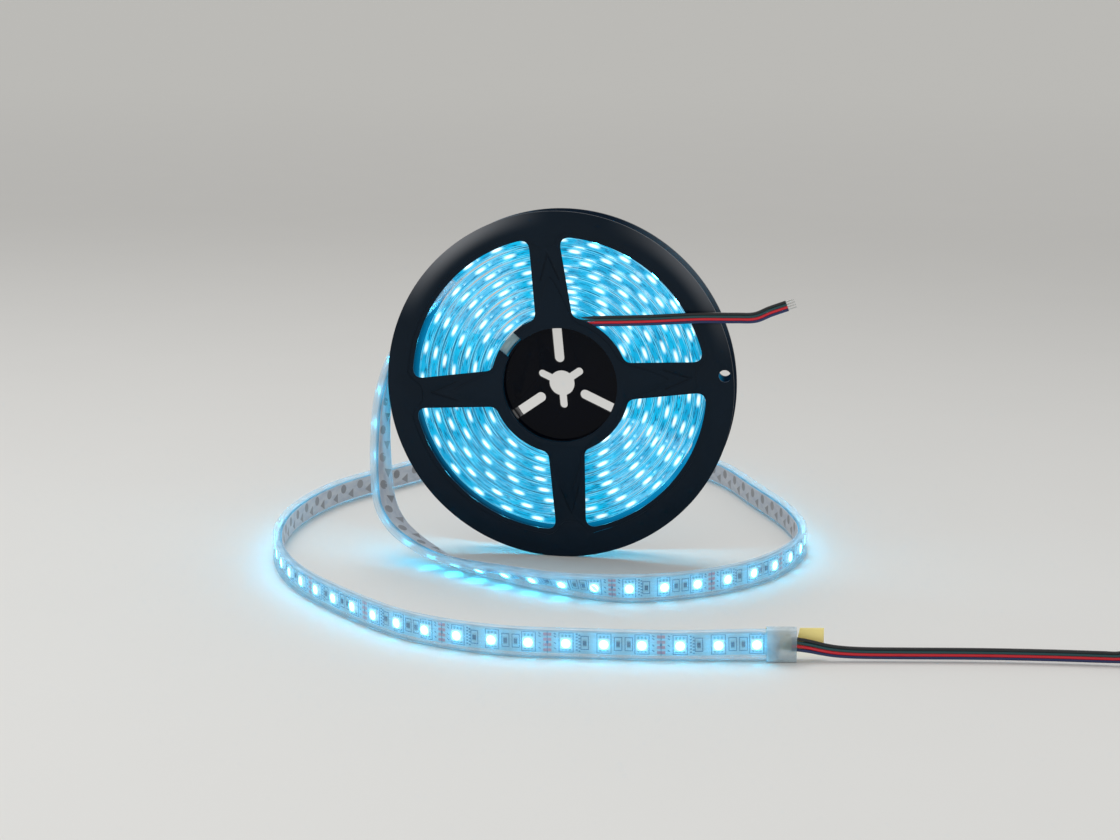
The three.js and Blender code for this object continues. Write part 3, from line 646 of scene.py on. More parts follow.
class STRIPREEL_OT_stage(bpy.types.Operator):
    """Adds the pale floor, the soft studio light and the camera"""
    bl_idname = "stripreel.stage"
    bl_label = "Stage"

    def execute(self, context):
        settings = context.scene.stripreel_stage
        add_camera()
        bm = bmesh.new()
        bmesh.ops.create_grid(bm, x_segments=1, y_segments=1, size=settings.floor_size / 2)
        bmesh.ops.translate(bm, vec=(0, settings.floor_size / 4, 0), verts=bm.verts)
        mesh = bpy.data.meshes.new("floor")
        bm.to_mesh(mesh)
        bm.free()
        floor = bpy.data.objects.new("floor", mesh)
        mesh.materials.append(floor_material())
        context.scene.collection.objects.link(floor)
        world = bpy.data.worlds.new("sky")
        world.use_nodes = True
        world.node_tree.nodes["Background"].inputs["Color"].default_value = (1.0, 1.0, 1.0, 1.0)
        world.node_tree.nodes["Background"].inputs["Strength"].default_value = settings.sky_strength
        context.scene.world = world
        add_key_light(settings.key_strength)
        context.scene.view_settings.view_transform = "Standard"
        return {"FINISHED"}


# Strip

SLEEVE_EDGE = (0.56, 0.68, 0.76, 1)
# The wound board's azure colour is painted light from its LEDs on its white coat
WOUND_BOARD = (0.12, 0.34, 0.50)
WOUND_MARKS = (0.004, 0.12, 0.20, 1)
LAMP_CORE = (0.045, 0.66, 1.0, 1)
LAMP_BODY = (0.75, 0.86, 0.92)
LAMP_BODY_LIGHT = (0.42, 0.85, 1.0)
LED_HEIGHT = 1.6
LED_BEVEL = 0.15
FOOT_SIZE = (0.85, 1.1, 0.24)
FOOT_PITCH = 1.6
LENS_RADIUS = 2.15
LENS_RISE = 0.06


def sleeve_material():
    """Clear silicone: see-through over the board, bluer and less clear along its edges, with a faint painted
    glow there, and with a painted glow near each LED, where it is also a little less clear.
    """
    settings = bpy.context.scene.stripreel_strip
    material, nodes, inputs = new_material("clear_sleeve", settings.sleeve_colour, 0.18, ior=1.41)
    place = nodes.attribute("strip_place")
    _, y, _ = nodes.parts(place)
    glow = nodes.group(shared_group("Lamp glow", lamp_glow_group), place=place, reach=5.5)
    edge = nodes.ramp(nodes.size(y), 4.9, 6.4)
    streaks = nodes.noise(place, 0.9, 3.0, (0.12, 1.0, 1.0))
    tone = nodes.mix(edge, colour_of(settings.sleeve_colour), SLEEVE_EDGE)
    nodes.feed(inputs["Base Color"], nodes.scale_colour(tone, nodes.ramp(streaks, 0.2, 0.8, 0.9, 1.08)))
    cover = nodes.plus(nodes.times(edge, 0.34), nodes.ramp(streaks, 0.3, 0.8, 0.08, 0.2))
    nodes.feed(inputs["Alpha"], nodes.plus(cover, nodes.times(glow["Glow"], 0.12), clamp=True))
    light = nodes.plus(nodes.times(glow["Glow"], 0.26), nodes.times(edge, 0.10))
    add_glow(material, nodes, inputs, nodes.scale_colour(settings.light_colour, light))
    rough = nodes.ramp(nodes.noise(place, 2.5, 2.0), 0.2, 0.8, 0.12, 0.3)
    nodes.feed(inputs["Roughness"], rough)
    add_bump(nodes, inputs, streaks, 0.2, 0.0004)
    return material


def board_material(name, marks):
    """The board's white coat, with painted blue light from its LEDs in its colour and in its glow, and copper
    tracks that show faintly through it. The wound board has its small printed marks in the material too."""
    settings = bpy.context.scene.stripreel_strip
    material, nodes, inputs = new_material(name, settings.board_colour, 0.45)
    place = nodes.attribute("strip_place")
    _, y, _ = nodes.parts(place)
    glow = nodes.group(shared_group("Lamp glow", lamp_glow_group), place=place, reach=6.0)
    tracks = nodes.math("PINGPONG", nodes.plus(y, 0.6), 1.2)
    track = nodes.ramp(tracks, 0.45, 0.65)
    blotches = nodes.noise(place, 0.5, 3.0)
    tone = nodes.plus(nodes.times(track, 0.05), nodes.ramp(blotches, 0.2, 0.8, 0.92, 1.03))
    colour = nodes.scale_colour(WOUND_BOARD if marks else settings.board_colour, tone)
    light = nodes.plus(nodes.times(glow["Glow"], 0.40), 0.10)
    if marks:
        ink = nodes.ramp(nodes.noise(place, 1.1, 1.0, (1.0, 0.7, 1.0)), 0.58, 0.62)
        colour = nodes.mix(ink, colour, WOUND_MARKS)
        light = nodes.times(light, nodes.minus(1.0, nodes.times(ink, 0.7)))
    nodes.feed(inputs["Base Color"], colour)
    add_glow(material, nodes, inputs, nodes.scale_colour(settings.light_colour, light))
    nodes.feed(inputs["Roughness"], nodes.ramp(blotches, 0.2, 0.8, 0.35, 0.55))
    add_bump(nodes, inputs, track, 0.3, 0.00005)
    return material


def lens_material(name, boost):
    """An LED's lit window: white-hot in its middle and blue at its edge."""
    settings = bpy.context.scene.stripreel_strip
    material, nodes, inputs = new_material(name, (0.8, 0.9, 1.0), 0.3)
    glow = nodes.group(shared_group("Lamp glow", lamp_glow_group), place=nodes.attribute("strip_place"),
                       reach=2.6)
    nodes.feed(inputs["Emission Color"],
               nodes.mix(glow["Glow"], colour_of(settings.light_colour, 0.6), LAMP_CORE))
    inputs["Emission Strength"].default_value = settings.light_strength * boost
    return material


def body_material(name, reach, brightness):
    """An LED's white moulded body, lit from inside."""
    material, nodes, inputs = new_material(name, LAMP_BODY, 0.4)
    glow = nodes.group(shared_group("Lamp glow", lamp_glow_group), place=nodes.attribute("strip_place"),
                       reach=reach)
    grain = nodes.noise(nodes.place(), 3000.0)
    nodes.feed(inputs["Base Color"], nodes.scale_colour(LAMP_BODY, nodes.ramp(grain, 0, 1, 0.9, 1.05)))
    light = nodes.times(glow["Glow"], brightness)
    add_glow(material, nodes, inputs, nodes.scale_colour(LAMP_BODY_LIGHT, light))
    return material


def led_template(size):
    """An LED's body in strip space: a square block with its top edges cut back."""
    bm = bmesh.new()
    add_block(bm, (0, 0, BOARD_FRONT + LED_HEIGHT / 2), (size, size, LED_HEIGHT))
    high = BOARD_FRONT + LED_HEIGHT - 0.1
    top = [edge for edge in bm.edges if all(vert.co.z > high for vert in edge.verts)]
    bmesh.ops.bevel(bm, geom=top, offset=LED_BEVEL, segments=1, profile=0.5, affect="EDGES", material=-1)
    return bm


def feet_template(size):
    """The six tinned feet of an LED, three on each side."""
    bm = bmesh.new()
    middle = size / 2 + FOOT_SIZE[1] / 2
    for side in (-1, 1):
        for along in (-FOOT_PITCH, 0.0, FOOT_PITCH):
            add_block(bm, (along, side * middle, BOARD_FRONT + FOOT_SIZE[2] / 2), FOOT_SIZE)
    return bm


def lens_template():
    """An LED's round lit window, a low dome that stands a little proud of the body."""
    bm = bmesh.new()
    bmesh.ops.create_circle(bm, cap_ends=True, segments=16, radius=LENS_RADIUS)
    bmesh.ops.translate(bm, vec=(0, 0, BOARD_FRONT + LED_HEIGHT), verts=bm.verts)
    grown = bmesh.ops.extrude_face_region(bm, geom=list(bm.faces))
    raised = [item for item in grown["geom"] if isinstance(item, bmesh.types.BMVert)]
    bmesh.ops.translate(bm, vec=(0, 0, LENS_RISE), verts=raised)
    bmesh.ops.recalc_face_normals(bm, faces=bm.faces)
    return bm


def lay_along(template, lengths):
    """Copies of a small mesh at the given lengths along the strip."""
    bm = bmesh.new()
    for length in lengths:
        append_mesh(bm, template, Matrix.Translation((length, 0, 0)))
    template.free()
    return bm


def led_lengths(start, end):
    """The middles of the LEDs between two lengths along the strip."""
    first = math.floor((FIRST_LED - end) / LED_PITCH + 1)
    last = math.floor((FIRST_LED - start) / LED_PITCH)
    return [FIRST_LED - k * LED_PITCH for k in range(first, last + 1)]


def cut_lengths(start, end):
    """The cut lines between two lengths along the strip."""
    first = math.floor((BOARD_END - end) / UNIT_LENGTH)
    last = math.floor((BOARD_END - start) / UNIT_LENGTH)
    return [BOARD_END - k * UNIT_LENGTH for k in range(first, last + 1)]


FREE_LEDS = led_lengths(4.0, BOARD_END)
ROLL_LEDS = led_lengths(ROLL_INNER_END + 24.0, 4.0)


class STRIPREEL_OT_sleeves(bpy.types.Operator):
    """Adds the clear sleeve of the free strip"""
    bl_idname = "stripreel.sleeves"
    bl_label = "Sleeve"

    def execute(self, context):
        settings = context.scene.stripreel_strip
        half_width = mm(settings.sleeve_width) / 2
        half = mm(settings.sleeve_thickness) / 2
        bm = sweep_section(0.3, SLEEVE_END, half_width, -half, half, 1.25, 3, 2.5, hole=(5.3, -1.35, 1.2))
        wrap_on_strip(bm)
        to_piece("sleeve_free", bm, sleeve_material(), ["free_sleeve"])
        return {"FINISHED"}


class STRIPREEL_OT_board(bpy.types.Operator):
    """Adds the flexible boards with their LEDs"""
    bl_idname = "stripreel.board"
    bl_label = "Board and LEDs"

    def execute(self, context):
        settings = context.scene.stripreel_strip
        half_width = mm(settings.board_width) / 2
        size = mm(settings.led_size)
        coat = board_material("board_coat", False)
        bm = sweep_section(0.6, BOARD_END, half_width, BOARD_BACK, BOARD_FRONT, step=2.5)
        wrap_on_strip(bm)
        to_piece("board_free", bm, coat, ["free_circuit"])
        # The tinned feet are painted dark teal: painted blue light and shade on their grey tin
        tin = plain_plastic("tinned_feet", (0.10, 0.42, 0.55), 0.35, 0.1, 0.1)
        free = ("free", FREE_LEDS, body_material("lamp_body", 2.7, 1.0), lens_material("lamp_lens", 1.0))
        roll = ("roll", ROLL_LEDS, body_material("wound_lamp_body", 3.0, 0.9),
                lens_material("wound_lamp_lens", 1.7))
        for label, lengths, bodies, lenses in (free, roll):
            bm = lay_along(led_template(size), lengths)
            wrap_on_strip(bm)
            to_piece(f"lamps_{label}", bm, bodies)
            lit = [length for length in lengths if length > LAST_TURN_START]
            bm = lay_along(lens_template(), lit)
            wrap_on_strip(bm)
            to_piece(f"lamp_lenses_{label}", bm, lenses)
            bm = lay_along(feet_template(size), lit)
            wrap_on_strip(bm)
            to_piece(f"lamp_feet_{label}", bm, tin)
        return {"FINISHED"}


# How far each mark is from a cut line, along the strip, in millimetres
LED_PLACES = (8.333, 25.0, 41.667)
RESISTOR_PLACES = (16.5, 31.2, 35.9)
MARK_COLUMNS = (3.4, 46.6)
DOT_COLUMNS = (13.0, 14.2)
PAD_ROWS = (-3.6, -1.2, 1.2, 3.6)
PRINT_HEIGHT = BOARD_FRONT + 0.02
PRINT_LINE = 0.36
INK = 0.04
LED_FRAME = (3.1, 4.4)
RESISTOR_FRAME = (1.65, 3.0)
MARK_ROWS = (-3.9, -2.6, 0.4, 2.8)
MARK_TURN = 0.6


def add_frame(bm, at, half_length, half_width):
    """A printed outline round a part on the board."""
    for side in (-1, 1):
        add_block(bm, (at, side * half_width, PRINT_HEIGHT), (2 * half_length + PRINT_LINE, PRINT_LINE, INK))
        add_block(bm, (at + side * half_length, 0, PRINT_HEIGHT), (PRINT_LINE, 2 * half_width, INK))


def print_on_unit(bm, start):
    """One cutting unit's printed outlines and plain marks."""
    for at in LED_PLACES:
        add_frame(bm, start + at, *LED_FRAME)
    for at in RESISTOR_PLACES:
        add_frame(bm, start + at, *RESISTOR_FRAME)
    for at in MARK_COLUMNS:
        for y in MARK_ROWS:
            turn = Matrix.Translation((start + at, y, PRINT_HEIGHT)) @ Matrix.Rotation(MARK_TURN, 4, "Z")
            bmesh.ops.create_cube(bm, size=1.0, matrix=turn @ Matrix.Diagonal((1.1, 0.5, INK, 1.0)))
    for column, at in enumerate(DOT_COLUMNS):
        for row in range(6):
            y = -3.9 + row * 1.45 + column * 0.5
            add_block(bm, (start + at, y, PRINT_HEIGHT), (0.85, 0.65, INK))
    add_block(bm, (start, 0, PRINT_HEIGHT + 0.03), (0.3, 10.0, INK))
    add_block(bm, (start, 0, PRINT_HEIGHT + 0.04), (0.9, 1.3, INK))


class STRIPREEL_OT_board_details(bpy.types.Operator):
    """Adds the resistors, the copper pads and the plain printed marks on the board"""
    bl_idname = "stripreel.board_details"
    bl_label = "Board details"

    def execute(self, context):
        ink = plain_plastic("board_ink", (0.0, 0.19, 0.40), 0.5, 0.3, 0.1)
        # The resistors' dark teal and the solder's blue are painted light from the LEDs
        chip = plain_plastic("resistor_body", (0.0, 0.12, 0.27), 0.35, 0.3, 0.2)
        solder = plain_plastic("solder", (0.25, 0.55, 0.68), 0.3, 0.3, 0.3)
        copper = plain_plastic("copper_pads", (0.62, 0.32, 0.42), 0.35, 0.3, 0.2)
        for label, start, end in (("free", 1.0, BOARD_END), ("roll", LAST_TURN_START, 1.0)):
            units = [cut - UNIT_LENGTH for cut in cut_lengths(start, end)]
            marks = bmesh.new()
            pads = bmesh.new()
            chips = bmesh.new()
            ends = bmesh.new()
            for unit in units:
                print_on_unit(marks, unit)
                for row in PAD_ROWS:
                    add_block(pads, (unit, row, BOARD_FRONT + 0.01), (3.6, 1.35, INK))
                for at in RESISTOR_PLACES:
                    add_block(chips, (unit + at, 0, BOARD_FRONT + 0.25), (1.6, 2.2, 0.5))
                    for side in (-1, 1):
                        add_block(ends, (unit + at, side * 1.35, BOARD_FRONT + 0.26), (1.62, 0.5, 0.52))
            for name, bm, material, slot in (("board_print", marks, ink, "board"),
                                             ("board_pads", pads, copper, "board"),
                                             ("resistors", chips, chip, "board"),
                                             ("resistor_ends", ends, solder, "tinned")):
                outside = [face for face in bm.faces
                           if not start + 1.0 < face.calc_center_median().x < end - 0.3]
                bmesh.ops.delete(bm, geom=outside, context="FACES")
                wrap_on_strip(bm)
                to_piece(f"{name}_{label}", bm, material, smooth=False)
        return {"FINISHED"}


PAPER_DULL = (0.50, 0.53, 0.60, 1)
PAPER_PALE = (0.64, 0.65, 0.68, 1)
LINER_THICKNESS = 0.3
LINER_HALF_WIDTH = 5.0
MARK_PITCH = 14.5
MARK_OFFSET = 1.9
TRIANGLE_RADIUS = 3.1
TRIANGLE_TURN = 0.5
RING_RADII = (2.5, 1.2)
TAB_LENGTH = 25.1
TAB_LEVELS = (-3.65, -3.35)
TAB_RISE = 1.4


def add_ring(bm, at, low):
    """A flat printed ring on the liner."""
    place = Matrix.Translation((at, -MARK_OFFSET, low))
    edges = set()
    for radius in RING_RADII:
        made = bmesh.ops.create_cone(bm, cap_ends=False, segments=10, radius1=radius, radius2=radius,
                                     depth=INK, matrix=place)
        edges.update(edge for vert in made["verts"] for edge in vert.link_edges)
    rims = [edge for edge in edges if edge.is_boundary]
    for side in (-1, 1):
        loop = [edge for edge in rims if all((vert.co.z - low) * side > 0 for vert in edge.verts)]
        bmesh.ops.bridge_loops(bm, edges=loop)


class STRIPREEL_OT_liner(bpy.types.Operator):
    """Adds the paper liner on the strip's back, its plain marks and its pull tab"""
    bl_idname = "stripreel.liner"
    bl_label = "Liner"

    def execute(self, context):
        paper, nodes, inputs = new_material("liner_paper", (0.55, 0.57, 0.63), 0.5)
        place = nodes.attribute("strip_place")
        creases = nodes.noise(place, 0.35, 3.0, (0.4, 1.0, 1.0))
        nodes.feed(inputs["Base Color"], nodes.mix(nodes.ramp(creases, 0.3, 0.7), PAPER_DULL, PAPER_PALE))
        nodes.feed(inputs["Roughness"], nodes.ramp(creases, 0.2, 0.8, 0.4, 0.6))
        add_bump(nodes, inputs, creases, 0.25, 0.0005)
        bm = sweep_section(LINER_START, SLEEVE_ENTRY - 1.7, LINER_HALF_WIDTH, LINER_FRONT - LINER_THICKNESS,
                           LINER_FRONT)
        wrap_on_strip(bm)
        to_piece("liner_paper", bm, paper, ["tape_liner"])

        ink = plain_plastic("liner_ink", (0.34, 0.335, 0.35), 0.6, 0.4, 0.1)
        bm = bmesh.new()
        low = LINER_FRONT - LINER_THICKNESS - INK / 2
        for i in range(int((SLEEVE_ENTRY - LINER_START) / MARK_PITCH) - 1):
            at = LINER_START + 10 + i * MARK_PITCH
            place = Matrix.Translation((at, MARK_OFFSET, low)) @ Matrix.Rotation(TRIANGLE_TURN, 4, "Z")
            bmesh.ops.create_cone(bm, cap_ends=True, segments=3, radius1=TRIANGLE_RADIUS,
                                  radius2=TRIANGLE_RADIUS, depth=INK, matrix=place)
            add_ring(bm, at + 7.0, low)
        bmesh.ops.recalc_face_normals(bm, faces=bm.faces)
        wrap_on_strip(bm)
        to_piece("liner_marks", bm, ink, smooth=False)

        # The tab is given a faint painted yellow glow, to brighten its upright face
        tab = plain_plastic("tab_paper", (1.0, 0.86, 0.34), 0.45, 0.06, 0.3,
                            emission_color=(0.11, 0.085, 0.02, 1), emission_strength=1.0)
        tab_end = SLEEVE_ENTRY + TAB_LENGTH
        bm = sweep_section(SLEEVE_ENTRY - 0.3, tab_end, LINER_HALF_WIDTH, *TAB_LEVELS, step=1.5)
        ends = [edge for edge in bm.edges if abs(edge.verts[0].co.z - edge.verts[1].co.z) > 0.2
                and abs(edge.verts[0].co.x - edge.verts[1].co.x) < 0.01
                and edge.verts[0].co.x > tab_end - 0.1]
        bmesh.ops.bevel(bm, geom=ends, offset=0.8, segments=3, profile=0.5, affect="EDGES", material=-1)
        bmesh.ops.translate(bm, vec=(0, -TAB_RISE, 0), verts=bm.verts)
        for vert in bm.verts:
            if CAP_FACE - 1.5 < vert.co.x < CAP_FACE + 1.6 and vert.co.y < 0:
                vert.co.y = 1.0
        wrap_on_strip(bm)
        to_piece("pull_tab", bm, tab, ["liner_tab"])
        return {"FINISHED"}


CAP_DULL = (0.40, 0.52, 0.60, 1)
CAP_PALE = (0.58, 0.68, 0.73, 1)
CAP_CORES = (0.10, 0.22, 0.28, 1)
CAP_RIM = (0.55, 0.65, 0.70, 1)
CAP_HALF_WIDTH = 7.5
CAP_HALF_HEIGHT = 3.05
CAP_WALL = (0.45, 0.5)
CAP_LAP = 5.5


def cap_material():
    """Milky silicone of the end caps: cloudy, dark over the cores and lit by the nearest LED."""
    material, nodes, inputs = new_material("milky_cap", (0.42, 0.56, 0.63), 0.25, ior=1.41)
    place = nodes.attribute("strip_place")
    x, y, _ = nodes.parts(place)
    cloud = nodes.noise(place, 0.14, 2.0)
    edge = nodes.ramp(nodes.size(y), 5.0, 6.8)
    core = nodes.times(nodes.bump_at(y, 0.3, 4.6), nodes.ramp(x, 5.0, 15.0))
    tone = nodes.mix(nodes.ramp(cloud, 0.3, 0.7), CAP_DULL, CAP_PALE)
    tone = nodes.mix(nodes.times(core, 0.8), tone, CAP_CORES)
    nodes.feed(inputs["Base Color"], nodes.mix(edge, tone, CAP_RIM))
    cover = nodes.plus(nodes.ramp(cloud, 0.3, 0.7, 0.46, 0.60), nodes.times(edge, 0.2))
    nodes.feed(inputs["Alpha"], cover)
    near_lamp = nodes.ramp(x, 2.0, 10.0, 0.24, 0.0)
    light_colour = bpy.context.scene.stripreel_strip.light_colour
    add_glow(material, nodes, inputs, nodes.scale_colour(light_colour, near_lamp))
    nodes.feed(inputs["Roughness"], nodes.ramp(cloud, 0.2, 0.8, 0.2, 0.35))
    add_bump(nodes, inputs, cloud, 0.2, 0.0004)
    return material


class STRIPREEL_OT_caps(bpy.types.Operator):
    """Adds the silicone caps on both ends of the strip"""
    bl_idname = "stripreel.caps"
    bl_label = "End caps"

    def execute(self, context):
        material = cap_material()
        bm = sweep_section(SLEEVE_ENTRY, CAP_FACE, CAP_HALF_WIDTH, -CAP_HALF_HEIGHT, CAP_HALF_HEIGHT, 1.3, 3,
                           1.0)
        mouth = [face for face in bm.faces if abs(face.normal.x) > 0.9
                 and face.calc_center_median().x < SLEEVE_ENTRY + 1]
        bmesh.ops.delete(bm, geom=mouth, context="FACES")
        rim = [edge for edge in bm.edges if edge.is_boundary]
        grown = bmesh.ops.extrude_edge_only(bm, edges=rim)
        verts = [item for item in grown["geom"] if isinstance(item, bmesh.types.BMVert)]
        wide = 1 - CAP_WALL[0] / CAP_HALF_WIDTH
        high = 1 - CAP_WALL[1] / CAP_HALF_HEIGHT
        bmesh.ops.scale(bm, vec=(1, wide, high), verts=verts)
        inner = [edge for edge in bm.edges if edge.is_boundary]
        grown = bmesh.ops.extrude_edge_only(bm, edges=inner)
        verts = [item for item in grown["geom"] if isinstance(item, bmesh.types.BMVert)]
        bmesh.ops.translate(bm, vec=(CAP_LAP, 0, 0), verts=verts)
        bmesh.ops.holes_fill(bm, edges=[edge for edge in bm.edges if edge.is_boundary], sides=0)
        bmesh.ops.recalc_face_normals(bm, faces=bm.faces)
        wrap_on_strip(bm)
        to_piece("end_cap_outer", bm, material, ["outer_end_cap"])
        bm = sweep_section(CAP_INNER_END, ROLL_INNER_END - 0.3, 6.7, -2.25, 2.05, 0.6, 2, 1.0)
        wrap_on_strip(bm)
        to_piece("end_cap_inner", bm, material, ["inner_end_cap"])
        return {"FINISHED"}


# The wound sleeve's painted glow: azure, darker streaks, pale lines of light and a white-hot spot at each LED
AZURE_DEEP = (0.0, 0.36, 0.66, 1)
AZURE_BRIGHT = (0.0, 0.53, 0.88, 1)
AZURE_HALO = (0.03, 0.66, 0.98, 1)
STREAK_DARK = (0.0, 0.11, 0.24, 1)
LINE_PALE = (0.32, 0.86, 1.06, 1)
SPOT_WHITE = (1.25, 1.6, 1.68, 1)
UNLIT_SLEEVE = (0.30, 0.42, 0.45, 1)
CLEAR_BODY = (0.02, 0.08, 0.11, 1)
SHADED_BODY = (0.0, 0.02, 0.04, 1)
# Where the roll has painted shade, darker and less see-through: a direction through the hub, and how far the
# shade reaches, as cosines
SHADED_SIDES = (4, 0.42, 0.80)
SHADED_TOP = (99, 0.84, 0.95)


def roll_material():
    """The wound sleeve: see-through silicone whose flanks have a painted azure glow, with a painted white-hot
    streak and halo at each LED and painted pale lines of light near its edges. Beside the spokes it has
    painted shade, darker and less see-through, so it is clearest in the middle of the windows, and it is grey
    at its unlit start."""
    material, nodes, inputs = new_material("wound_sleeve", (0.04, 0.10, 0.14), 0.25, ior=1.41)
    place = nodes.attribute("strip_place")
    x, y, z = nodes.parts(place)
    glow = nodes.group(shared_group("Lamp glow", lamp_glow_group), place=place, reach=5.5)
    along = glow["Along"]
    flank = nodes.ramp(nodes.size(y), 5.6, 6.3)
    wide, _, high = nodes.parts(nodes.place())
    angle = nodes.math("ARCTAN2", nodes.minus(high, AXIS_HEIGHT * MM), wide)
    shades = []
    for turn, low, full in (SHADED_SIDES, SHADED_TOP):
        swing = nodes.math("COSINE", nodes.times(nodes.minus(angle, math.radians(turn)), 2.0))
        shades.append(nodes.ramp(swing, low, full))
    shaded = nodes.math("MAXIMUM", *shades)
    drift = nodes.noise(place, 0.05, 2.0, (1.0, 0.2, 0.6))
    fine = nodes.noise(place, 0.8, 3.0, (0.30, 1.0, 2.0))
    threads = nodes.noise(place, 1.0, 3.0, (0.12, 0.6, 3.0))
    height = nodes.size(z)
    # Painted pale lines of light near the flank's edges
    rims = nodes.times(nodes.ramp(height, 1.75, 2.05), nodes.ramp(threads, 0.38, 0.6, 0.25, 1.0))
    walls = nodes.times(nodes.bump_at(height, 1.3, 0.4), nodes.ramp(threads, 0.5, 0.62))
    lines = nodes.math("MAXIMUM", rims, walls)
    # Painted light: a white-hot spot at each LED and a wider halo round it
    spot = nodes.times(nodes.ramp(along, 0.2, 4.4, 1.0, 0.0), nodes.bump_at(z, 0.2, 1.35))
    halo = nodes.times(nodes.ramp(along, 1.0, 6.0, 1.0, 0.0), nodes.bump_at(z, 0.2, 2.8))
    azure = nodes.mix(nodes.ramp(drift, 0.35, 0.7), AZURE_DEEP, AZURE_BRIGHT)
    tone = nodes.mix(nodes.times(halo, 0.45), azure, AZURE_HALO)
    tone = nodes.mix(nodes.ramp(fine, 0.52, 0.64, 0.0, 0.85), tone, STREAK_DARK)
    tone = nodes.mix(nodes.times(lines, 0.75), tone, LINE_PALE)
    tone = nodes.mix(spot, tone, SPOT_WHITE)
    start = ROLL_INNER_END - FIRST_LED
    lit = nodes.ramp(x, start + 16.0, start + 24.0)
    strength = nodes.times(nodes.ramp(flank, 0.0, 1.0, 0.15, 1.0), lit)
    strength = nodes.times(strength, nodes.ramp(shaded, 0.0, 1.0, 1.22, 1.0))
    add_glow(material, nodes, inputs, nodes.scale_colour(tone, strength))
    body = nodes.mix(shaded, CLEAR_BODY, SHADED_BODY)
    nodes.feed(inputs["Base Color"], nodes.mix(lit, UNLIT_SLEEVE, body))
    inputs["Specular IOR Level"].default_value = 0.25
    cover = nodes.plus(nodes.ramp(shaded, 0.0, 1.0, 0.58, 0.98), nodes.times(lines, 0.25))
    cover = nodes.plus(cover, nodes.times(halo, 0.20))
    cover = nodes.plus(cover, nodes.times(spot, 0.4))
    cover = nodes.plus(cover, nodes.ramp(fine, 0.55, 0.75, 0.0, 0.25))
    cover = nodes.math("MAXIMUM", cover, nodes.times(nodes.minus(1.0, lit), 0.85))
    nodes.feed(inputs["Alpha"], nodes.times(cover, nodes.ramp(flank, 0.0, 1.0, 0.30, 1.0), clamp=True))
    nodes.feed(inputs["Roughness"], nodes.ramp(fine, 0.2, 0.8, 0.15, 0.35))
    add_bump(nodes, inputs, fine, 0.25, 0.0004)
    return material


class STRIPREEL_OT_roll(bpy.types.Operator):
    """Adds the wound strip's sleeve and board"""
    bl_idname = "stripreel.roll"
    bl_label = "Roll"

    def execute(self, context):
        settings = context.scene.stripreel_strip
        half_width = mm(settings.sleeve_width) / 2
        half = mm(settings.sleeve_thickness) / 2
        bm = sweep_section(ROLL_INNER_END, 0.0, half_width, -half, half, 0.9, 3, 2.5)
        wrap_on_strip(bm)
        to_piece("sleeve_roll", bm, roll_material(), ["strip_roll"])
        bm = sweep_section(ROLL_INNER_END + 1, 0.0, mm(settings.board_width) / 2, BOARD_BACK, BOARD_FRONT)
        wrap_on_strip(bm)
        to_piece("board_roll", bm, board_material("wound_board_coat", True))
        return {"FINISHED"}


# Leads

CORE_COLOURS = {
    "black": (0.010, 0.011, 0.013),
    "green": (0.010, 0.070, 0.078),
    "red": (0.70, 0.012, 0.028),
    "blue": (0.012, 0.028, 0.115),
}
STRANDS = 7
STRAND_RADIUS = 0.115
STRAND_RING = 0.2
STRAND_TWIST = math.radians(160)
TIP_STEPS = 8
HOUSING_SIZE = (14.0, 2.6, 10.46)
CONTACT_SIZE = (8.2, 1.2, 1.2)
CONTACT_SHIFT = 3.0


def add_core(name, points, diameter, material, replaces):
    """An insulated core: a smooth round cord through the given points, in millimetres."""
    places, _ = smooth_route(points, 12 * len(points))
    data = bpy.data.curves.new(name, "CURVE")
    data.dimensions = "3D"
    data.bevel_depth = diameter / 2
    data.bevel_resolution = 4
    data.use_fill_caps = True
    spline = data.splines.new("POLY")
    spline.points.add(len(places) - 1)
    for point, place in zip(spline.points, places * MM):
        point.co = (*place, 1.0)
    data.materials.append(material)
    core = bpy.data.objects.new(name, data)
    bpy.context.scene.collection.objects.link(core)
    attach(core, "root")
    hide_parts(*replaces)
    return core


def outer_core_points(index):
    place = 1.5 - index
    start = on_route(CAP_FACE - 2.0)
    face = on_route(CAP_FACE + 0.3)
    rise = np.array((0, 0, place * OUTER_LEAD_SPACING))
    points = [tuple(start + rise), tuple(face + rise)]
    points += [(x, y, z + place * spacing) for x, y, z, spacing in OUTER_LEAD_ROUTE]
    return points


def inner_core_points(index):
    place = 1.5 - index
    start = on_route(CAP_INNER_END, -2.2, -0.1)
    rows = [(*start, 0, 1, 0), *INNER_LEAD_ROUTE]
    places = [Vector(row[:3]) for row in rows]
    points = []
    for i, row in enumerate(rows):
        along = (places[min(i + 1, len(rows) - 1)] - places[max(i - 1, 0)]).normalized()
        stack = Vector(row[3:])
        stack = (stack - along * stack.dot(along)).normalized()
        points.append(tuple(places[i] + stack * place * INNER_LEAD_SPACING))
    return points


